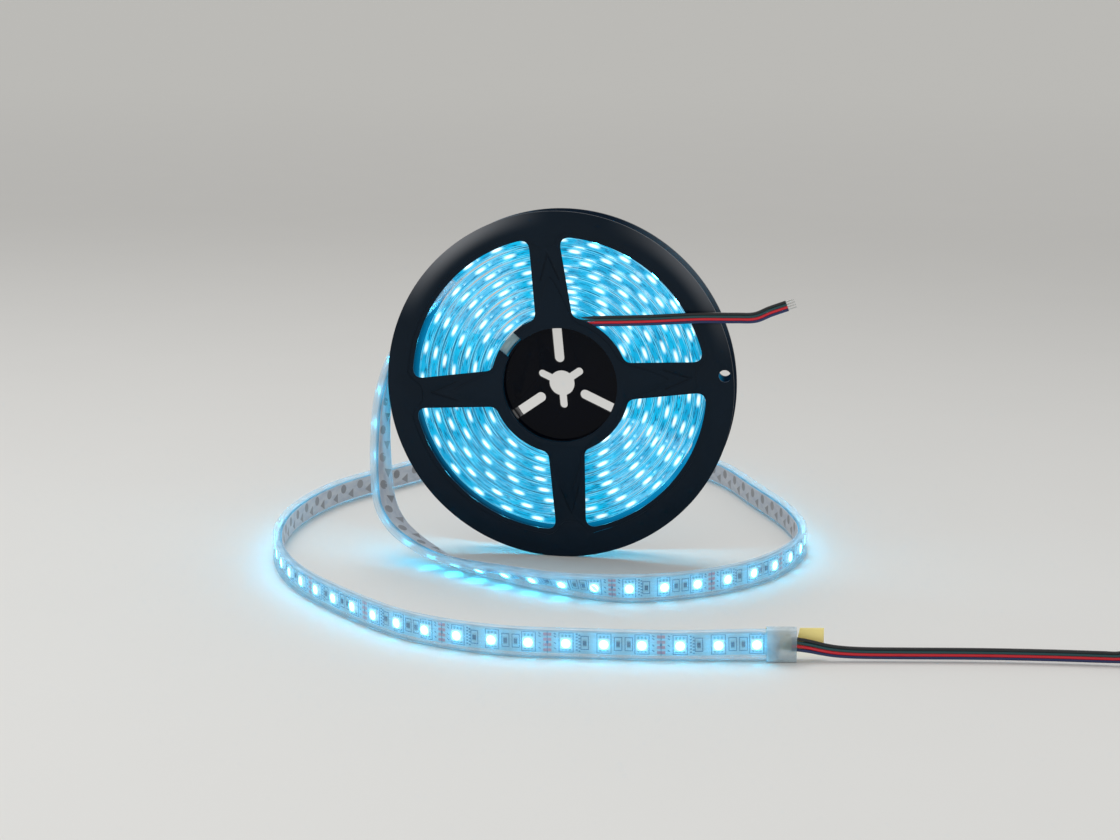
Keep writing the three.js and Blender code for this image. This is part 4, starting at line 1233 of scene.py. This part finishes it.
def add_tip(name, start, direction, length, material, replaces):
    """A tinned end: twisted strands, with their ends closed flat."""
    bm = bmesh.new()
    for i in range(STRANDS):
        middle = polar(0.0 if i == STRANDS - 1 else STRAND_RING, 2 * math.pi * i / (STRANDS - 1))
        ring = bmesh.ops.create_circle(bm, cap_ends=False, segments=8, radius=STRAND_RADIUS,
                                       matrix=Matrix.Translation((*middle, 0)))
        edges = list({edge for vert in ring["verts"] for edge in vert.link_edges})
        bmesh.ops.spin(bm, geom=edges, cent=(0, 0, 0), axis=(0, 0, 1), dvec=(0, 0, length / TIP_STEPS),
                       angle=STRAND_TWIST, steps=TIP_STEPS, use_duplicate=False)
    bmesh.ops.holes_fill(bm, edges=[edge for edge in bm.edges if edge.is_boundary], sides=0)
    bmesh.ops.recalc_face_normals(bm, faces=bm.faces)
    turn = Vector((0, 0, 1)).rotation_difference(direction).to_matrix().to_4x4()
    bmesh.ops.transform(bm, matrix=Matrix.Translation(start) @ turn, verts=bm.verts)
    return to_piece(name, bm, material, replaces)


class STRIPREEL_OT_leads(bpy.types.Operator):
    """Adds both four-core leads, the connector and the tinned ends"""
    bl_idname = "stripreel.leads"
    bl_label = "Leads"

    def execute(self, context):
        settings = context.scene.stripreel_leads
        diameter = settings.core_diameter
        tin = plain_plastic("tinned_strands", (0.62, 0.62, 0.60), 0.3, 0.2, 0.3, metallic=1.0)
        brass = plain_plastic("contact_gold", (0.80, 0.60, 0.28), 0.28, 0.15, 0.2, metallic=1.0)
        shell = plain_plastic("connector_shell", (0.012, 0.012, 0.014), 0.4, 0.15, 0.2)
        x, y, z = HOUSING_MIDDLE
        bm = bmesh.new()
        add_block(bm, (x, y, z), HOUSING_SIZE, 0.25)
        housing = to_piece("connector_shell", bm, shell, ["connector_housing"])
        for index, colour in enumerate(CORES):
            insulation = plain_plastic(f"insulation_{colour}", CORE_COLOURS[colour], 0.32, 0.1, 0.1)
            points = outer_core_points(index)
            bm = bmesh.new()
            add_block(bm, (x + CONTACT_SHIFT, y, z + (1.5 - index) * CONTACT_PITCH), CONTACT_SIZE, 0.1)
            contact = to_piece(f"contact_pin_{colour}", bm, brass, [f"contact_{colour}"])
            core = add_core(f"lead_outer_{colour}", points, diameter, insulation,
                            [f"outer_lead_{colour}"])
            length = path_length(points)
            points = inner_core_points(index)
            ahead = (Vector(points[-1]) - Vector(points[-2])).normalized()
            tip = add_tip(f"tinned_end_{colour}", Vector(points[-1]) - ahead * 0.3, ahead,
                          mm(settings.tinned_length) + 0.5, tin, [f"tinned_tip_{colour}"])
            core = add_core(f"lead_inner_{colour}", points, diameter, insulation,
                            [f"inner_lead_{colour}"])
            path_length(points) * MM
        return {"FINISHED"}


def path_length(points):
    places, _ = smooth_route(points, 12 * len(points))
    return float(np.sum(np.linalg.norm(np.diff(places, axis=0), axis=1)))


# Reel

def polar(radius, angle):
    return Vector((radius * math.cos(angle), radius * math.sin(angle)))


def arc(radius, start, end, steps):
    return [polar(radius, start + (end - start) * i / steps) for i in range(steps + 1)]


def circle(radius, steps, middle=Vector((0, 0))):
    return [middle + offset for offset in arc(radius, 0, 2 * math.pi, steps)[:-1]]


def round_corner(before, corner, after, radius, steps):
    start = corner + (before - corner).normalized() * radius
    end = corner + (after - corner).normalized() * radius
    points = []
    for i in range(steps + 1):
        t = i / steps
        points.append(start * (1 - t) ** 2 + corner * 2 * t * (1 - t) + end * t ** 2)
    return points


def drifted(points):
    """Moves what is near the rim aside, as the moulding's outer parts are."""
    drift = Vector(WINDOW_DRIFT)
    return [point + drift * min(max((point.length - 40) / 30, 0), 1) for point in points]


def window_outline(index, spoke_turn, outer):
    """A window between two spokes."""
    inner = COLLAR_RADIUS
    turn = spoke_turn + index * math.pi / 2
    end = turn + math.pi / 2
    rim_edge = math.asin(SPOKE_RIM_WIDTH / 2 / outer)
    collar_edge = math.asin(SPOKE_COLLAR_WIDTH / 2 / inner)
    corner = WINDOW_CORNER
    rim_start = polar(outer, turn + rim_edge)
    rim_end = polar(outer, end - rim_edge)
    collar_start = polar(inner, turn + collar_edge)
    collar_end = polar(inner, end - collar_edge)
    rim_arc = arc(outer, turn + rim_edge + corner / outer, end - rim_edge - corner / outer, 24)
    inset = corner * 0.55 / inner
    collar_arc = arc(inner, end - collar_edge - inset, turn + collar_edge + inset, 10)
    return [
        *rim_arc[1:-1],
        *round_corner(rim_arc[-1], rim_end, collar_end, corner, 8),
        *round_corner(rim_end, collar_end, collar_arc[0], corner * 0.55, 6),
        *collar_arc[1:-1],
        *round_corner(collar_arc[-1], collar_start, rim_start, corner * 0.55, 6),
        *round_corner(collar_start, rim_start, rim_arc[0], corner, 8),
    ]


def add_loop(bm, outline, y):
    verts = [bm.verts.new((point[0], y, point[1] + AXIS_HEIGHT)) for point in outline]
    return [bm.edges.new((a, b)) for a, b in zip(verts, verts[1:] + verts[:1])]


def draw_down(bm, loop, depth):
    """Extrudes a loop of edges along Y, and gives the new loop."""
    grown = bmesh.ops.extrude_edge_only(bm, edges=loop)
    verts = {item for item in grown["geom"] if isinstance(item, bmesh.types.BMVert)}
    bmesh.ops.translate(bm, vec=(0, depth, 0), verts=list(verts))
    return [item for item in grown["geom"] if isinstance(item, bmesh.types.BMEdge)
            and all(vert in verts for vert in item.verts)]


def round_edges(bm, offset, angle=30.0):
    """Rounds the sharp edges of a mesh."""
    sharp = [edge for edge in bm.edges if edge.is_manifold and edge.calc_face_angle() > math.radians(angle)]
    bmesh.ops.bevel(bm, geom=sharp, offset=offset, segments=2, profile=0.5, affect="EDGES", material=-1,
                    clamp_overlap=True)


# The rim's inner step dips towards the hub at each spoke: offset from the spoke's middle, then radius
RIM_DIP = [(-11.5, 76.9), (-9.0, 75.9), (-7.0, 74.2), (-5.2, 71.9), (-3.2, 70.6), (0.0, 70.2),
           (3.2, 70.6), (5.2, 71.9), (7.0, 74.2), (9.0, 75.9), (11.5, 76.9)]
# The collar's raised arm runs out along each spoke to a point
COLLAR_ARM = [(-12.6, 30.2), (-9.6, 32.8), (-8.0, 36.6), (-5.2, 44.6), (-2.2, 51.6), (0.0, 55.0),
              (2.2, 51.6), (5.2, 44.6), (8.0, 36.6), (9.6, 32.8), (12.6, 30.2)]


def moulded_step(radius, shape, spoke_turn):
    """A circle whose line leaves it at each spoke for the given shape."""
    outline = []
    for i in range(4):
        heading = spoke_turn + i * math.pi / 2
        out = polar(1.0, heading)
        side = polar(1.0, heading + math.pi / 2)
        points = [out * along + side * offset for offset, along in shape]
        outline += points
        start = math.atan2(points[-1].y, points[-1].x)
        last = spoke_turn + (i + 1) * math.pi / 2
        first_next = math.atan2(shape[0][0], shape[0][1]) + last
        while start < heading:
            start += 2 * math.pi
        outline += arc(radius, start, first_next, 20)[1:-1]
    return outline


def flange_mesh(spoke_turn, rim_radius, rim_middle, window_radius, hole_place):
    """A front flange: its rim and collar stand proud of the spokes and of a frame round each window."""
    bm = bmesh.new()
    step = REEL_FRONT + FRAME_DEPTH
    rim = add_loop(bm, circle(rim_radius, 180, rim_middle), REEL_FRONT)
    bore = add_loop(bm, circle(COLLAR_BORE, 96), REEL_FRONT)
    hole = add_loop(bm, circle(RIM_HOLE_RADIUS, 28, polar(hole_place, SPOKE_TURN)), REEL_FRONT)
    rim_step = add_loop(bm, drifted(moulded_step(RIM_STEP_RADIUS, RIM_DIP, spoke_turn)), REEL_FRONT)
    star = add_loop(bm, moulded_step(COLLAR_STEP_RADIUS, COLLAR_ARM, spoke_turn), REEL_FRONT)
    bmesh.ops.triangle_fill(bm, use_beauty=True, edges=rim + hole + rim_step, normal=(0, -1, 0))
    bmesh.ops.triangle_fill(bm, use_beauty=True, edges=bore + star, normal=(0, -1, 0))
    low = draw_down(bm, rim_step, FRAME_DEPTH) + draw_down(bm, star, FRAME_DEPTH)
    windows = [add_loop(bm, drifted(window_outline(i, spoke_turn, window_radius)), step) for i in range(4)]
    flat = low + [edge for window in windows for edge in window]
    bmesh.ops.triangle_fill(bm, use_beauty=True, edges=flat, normal=(0, -1, 0))
    last = []
    for loop in (rim, bore, hole):
        last += draw_down(bm, loop, FLANGE_THICKNESS)
    for window in windows:
        last += draw_down(bm, window, FLANGE_THICKNESS - FRAME_DEPTH)
    bmesh.ops.triangle_fill(bm, use_beauty=True, edges=last, normal=(0, 1, 0))
    bmesh.ops.recalc_face_normals(bm, faces=bm.faces)
    bmesh.ops.dissolve_limit(bm, angle_limit=math.radians(1), verts=bm.verts, edges=bm.edges)
    return bm


def prism(outline, front, back):
    """A block with the given outline in the reel's plane, for a cut."""
    bm = bmesh.new()
    loop = add_loop(bm, outline, front)
    bmesh.ops.triangle_fill(bm, use_beauty=True, edges=loop, normal=(0, -1, 0))
    end = draw_down(bm, loop, back - front)
    bmesh.ops.triangle_fill(bm, use_beauty=True, edges=end, normal=(0, 1, 0))
    bmesh.ops.recalc_face_normals(bm, faces=bm.faces)
    return bm


def slot_outline(start, end, width, steps=8):
    heading = math.atan2(end.y - start.y, end.x - start.x)
    points = []
    for centre, first in ((end, heading - math.pi / 2), (start, heading + math.pi / 2)):
        points += [centre + offset for offset in arc(width / 2, first, first + math.pi, steps)]
    return points


def cut_from(name, bm, cutters):
    """Cuts the given blocks out of a mesh, and gives back the mesh."""
    scene = bpy.context.scene
    holder = []
    for label, mesh_source in [(name, bm), *[(f"{name}_cut", cutter) for cutter in cutters]]:
        mesh = bpy.data.meshes.new(label)
        mesh_source.to_mesh(mesh)
        mesh_source.free()
        item = bpy.data.objects.new(label, mesh)
        scene.collection.objects.link(item)
        holder.append(item)
    base = holder[0]
    for cutter in holder[1:]:
        modifier = base.modifiers.new("cut", "BOOLEAN")
        modifier.operation = "DIFFERENCE"
        modifier.solver = "EXACT"
        modifier.object = cutter
    bpy.context.view_layer.update()
    shown = base.evaluated_get(bpy.context.evaluated_depsgraph_get())
    result = bmesh.new()
    result.from_mesh(shown.to_mesh())
    shown.to_mesh_clear()
    for item in holder:
        mesh = item.data
        bpy.data.objects.remove(item)
        bpy.data.meshes.remove(mesh)
    return result


def groove_cutters(spoke_turn):
    """The V-shaped groove on each spoke."""
    cutters = []
    for i in range(4):
        heading = spoke_turn + i * math.pi / 2
        out = polar(1.0, heading)
        side = polar(1.0, heading + math.pi / 2)
        for turn in (-1, 1):
            end = out * GROOVE_END[0] + side * GROOVE_END[1] * turn
            outline = slot_outline(end, out * GROOVE_APEX, GROOVE_WIDTH, 3)
            cutters.append(prism(outline, REEL_FRONT - 1, REEL_FRONT + FRAME_DEPTH + GROOVE_DEPTH))
    return cutters


def reel_material(name, colour, roughness, gloss, sheen, spill):
    """Dark moulded plastic with a fine grain and soft gloss, and a painted sheen on the rim's shoulders at
    the upper left and upper right. The strip's light spills onto its inner faces as a painted glow."""
    material, nodes, inputs = new_material(name, colour, roughness)
    grain = grain_finish(nodes, inputs, colour, roughness, 0.22, 0.12)
    wide, deep, high = nodes.parts(nodes.place())
    raised = nodes.minus(high, AXIS_HEIGHT * MM)
    angle = nodes.math("ARCTAN2", raised, wide)
    squares = nodes.plus(nodes.times(wide, wide), nodes.times(raised, raised))
    radius = nodes.math("SQRT", squares)
    outer = nodes.ramp(radius, 0.0790, 0.0885)
    # Painted sheen: lighter on the rim's outer part at the upper left, and half as much at the upper right
    left = nodes.bump_at(angle, math.radians(126), math.radians(34))
    right = nodes.times(nodes.bump_at(angle, math.radians(42), math.radians(34)), 0.5)
    sheen_mask = nodes.times(nodes.times(outer, nodes.plus(left, right)), sheen)
    base = nodes.scale_colour(colour, grain["Tone"])
    nodes.feed(inputs["Base Color"], nodes.mix(sheen_mask, base, RIM_SHEEN))
    inputs["Specular IOR Level"].default_value = gloss
    if spill:
        ring = nodes.plus(nodes.times(nodes.bump_at(radius, 0.0735, 0.007), 0.7), 0.3)
        inside = nodes.ramp(nodes.size(deep), 0.00735, 0.00705)
        inside = nodes.times(inside, nodes.ramp(radius, 0.0815, 0.0785))
        light = nodes.times(nodes.times(ring, inside), spill)
        add_glow(material, nodes, inputs, nodes.scale_colour(SPILL, light))
    return material


def made_flange(rounding, spoke_turn, *sizes):
    """A front flange with its notch and its grooves cut and its edges rounded."""
    outline = slot_outline(polar(COLLAR_BORE - NOTCH_WIDTH, NOTCH_ANGLE),
                           polar(COLLAR_RADIUS + NOTCH_WIDTH / 4, NOTCH_ANGLE), NOTCH_WIDTH)
    notch = prism(outline, REEL_FRONT - 1, REEL_FRONT + FLANGE_THICKNESS + 1)
    bm = cut_from("flange", flange_mesh(spoke_turn, *sizes), [notch, *groove_cutters(spoke_turn)])
    bmesh.ops.remove_doubles(bm, verts=bm.verts, dist=0.002)
    bmesh.ops.dissolve_limit(bm, angle_limit=math.radians(1), verts=bm.verts, edges=bm.edges)
    round_edges(bm, rounding)
    return bm


class STRIPREEL_OT_flanges(bpy.types.Operator):
    """Adds the reel's two moulded flanges"""
    bl_idname = "stripreel.flanges"
    bl_label = "Flanges"

    def execute(self, context):
        settings = context.scene.stripreel_reel
        rounding = mm(settings.edge_rounding)
        material = reel_material("reel_plastic", settings.colour, 0.40, 0.14, 1.0, 0.7)
        radius, middle = FRONT_RIM
        bm = made_flange(rounding, SPOKE_TURN, radius, Vector(middle), FRONT_WINDOW_RADIUS, FRONT_HOLE_PLACE)
        to_piece("flange_front", bm, material, ["front_flange"])
        radius, middle = REAR_RIM
        line = polar(1.0, SPOKE_TURN)
        middle = line * Vector(middle).dot(line) * 2 - Vector(middle)
        bm = made_flange(rounding, SPOKE_TURN + REAR_SPOKE_LAG, radius, middle, REAR_WINDOW_RADIUS,
                         REAR_HOLE_PLACE)
        turn = Matrix.Rotation(math.pi, 4, Vector((line.x, 0, line.y)))
        lift = Matrix.Translation((0, 0, AXIS_HEIGHT))
        bmesh.ops.transform(bm, matrix=lift @ turn @ lift.inverted(), verts=bm.verts)
        to_piece("flange_rear", bm, material, ["rear_flange"])
        return {"FINISHED"}


HUB_RADIUS = 30.0
HUB_HALF_DEPTH = 6.7
# The hub's plastic is painted nearly black, darker than the flanges, as painted shade in its deep recess
SHADED_HUB_COLOUR = (0.0003, 0.0012, 0.0045)
WEB_INSET = 5.8
WEB_THICKNESS = 1.6
ARBOR_RADIUS = 6.5
KEY_REACH = 12.9
KEY_WIDTH = 3.9
DRIVE_START = 10.6
DRIVE_HALF_WIDTH = 2.5
MOULD_MARK = (1.9, 23.4, math.radians(197), 0.5)


def hub_cutters(web_front, web_back):
    """The arbor hole with its key slots, the drive slots and a shallow round mould mark."""
    radius, place, angle, depth = MOULD_MARK
    cutters = [prism(circle(ARBOR_RADIUS, 48), web_front - 1, web_back + 1)]
    cutters.append(prism(circle(radius, 24, polar(place, angle)), web_front - 1, web_front + depth))
    for i in range(3):
        key = SPOKE_TURN + math.pi / 6 + i * 2 * math.pi / 3
        outline = slot_outline(Vector((0, 0)), polar(KEY_REACH - KEY_WIDTH / 2, key), KEY_WIDTH, 10)
        cutters.append(prism(outline, web_front - 1, web_back + 1))
        slot = key + math.pi
        start = polar(DRIVE_START + DRIVE_HALF_WIDTH, slot)
        side = polar(DRIVE_HALF_WIDTH, slot + math.pi / 2)
        end = polar(HUB_BORE + 0.3, slot)
        bend = arc(DRIVE_HALF_WIDTH, slot + math.pi / 2, slot + math.pi * 1.5, 10)
        outline = [*[start + offset for offset in bend], end - side, end + side]
        cutters.append(prism(outline, web_front - 1, web_back + 1))
    return cutters


class STRIPREEL_OT_hub(bpy.types.Operator):
    """Adds the reel's hub, with its arbor hole and drive slots"""
    bl_idname = "stripreel.hub"
    bl_label = "Hub"

    def execute(self, context):
        rounding = mm(context.scene.stripreel_reel.edge_rounding)
        web_front = REEL_FRONT + WEB_INSET
        web_back = web_front + WEB_THICKNESS
        bm = bmesh.new()
        outer = add_loop(bm, circle(HUB_RADIUS, 96), -HUB_HALF_DEPTH)
        front = add_loop(bm, circle(HUB_BORE, 96), -HUB_HALF_DEPTH)
        bmesh.ops.bridge_loops(bm, edges=outer + front)
        far = draw_down(bm, outer, 2 * HUB_HALF_DEPTH)
        seat = draw_down(bm, front, web_front + HUB_HALF_DEPTH)
        bmesh.ops.holes_fill(bm, edges=seat, sides=0)
        rear = add_loop(bm, circle(HUB_BORE, 96), HUB_HALF_DEPTH)
        bmesh.ops.bridge_loops(bm, edges=far + rear)
        seat = draw_down(bm, rear, web_back - HUB_HALF_DEPTH)
        bmesh.ops.holes_fill(bm, edges=seat, sides=0)
        bmesh.ops.recalc_face_normals(bm, faces=bm.faces)
        bm = cut_from("hub", bm, hub_cutters(web_front, web_back))
        bmesh.ops.remove_doubles(bm, verts=bm.verts, dist=0.002)
        bmesh.ops.dissolve_limit(bm, angle_limit=math.radians(1), verts=bm.verts, edges=bm.edges)
        round_edges(bm, rounding * 0.8)
        material = reel_material("hub_plastic", SHADED_HUB_COLOUR, 0.24, 0.10, 0.0, 0.0)
        to_piece("reel_hub", bm, material, ["hub"])
        return {"FINISHED"}


class STRIPREEL_OT_declare_strip(bpy.types.Operator):
    """Does nothing."""
    bl_idname = "stripreel.declare_strip"
    bl_label = "Free strip's facts"

    def execute(self, context):
        return {"FINISHED"}


class STRIPREEL_PT_panel(bpy.types.Panel):
    """Lists the steps that build the reel"""
    bl_idname = "STRIPREEL_PT_panel"
    bl_label = "LED strip light reel"
    bl_space_type = "VIEW_3D"
    bl_region_type = "UI"
    bl_category = "Strip Reel"

    def draw(self, context):
        for operator in OPERATORS:
            self.layout.operator(operator.bl_idname)


SETTINGS = {
    "stripreel_strip": StripSettings,
    "stripreel_reel": ReelSettings,
    "stripreel_leads": LeadSettings,
    "stripreel_stage": StageSettings,
}
OPERATORS = (
    STRIPREEL_OT_stage,
    STRIPREEL_OT_sleeves,
    STRIPREEL_OT_board,
    STRIPREEL_OT_board_details,
    STRIPREEL_OT_liner,
    STRIPREEL_OT_caps,
    STRIPREEL_OT_leads,
    STRIPREEL_OT_roll,
    STRIPREEL_OT_flanges,
    STRIPREEL_OT_hub,
    STRIPREEL_OT_declare_strip,
)


def register():
    for group in SETTINGS.values():
        bpy.utils.register_class(group)
    for name, group in SETTINGS.items():
        setattr(bpy.types.Scene, name, bpy.props.PointerProperty(type=group))
    for operator in OPERATORS:
        bpy.utils.register_class(operator)
    bpy.utils.register_class(STRIPREEL_PT_panel)


def unregister():
    bpy.utils.unregister_class(STRIPREEL_PT_panel)
    for operator in reversed(OPERATORS):
        bpy.utils.unregister_class(operator)
    for name in SETTINGS:
        delattr(bpy.types.Scene, name)
    for group in reversed(list(SETTINGS.values())):
        bpy.utils.unregister_class(group)


def main():
    register()
    for operator in OPERATORS:
        family, name = operator.bl_idname.split(".")
        getattr(getattr(bpy.ops, family), name)()


if __name__ == "__main__":
    main()
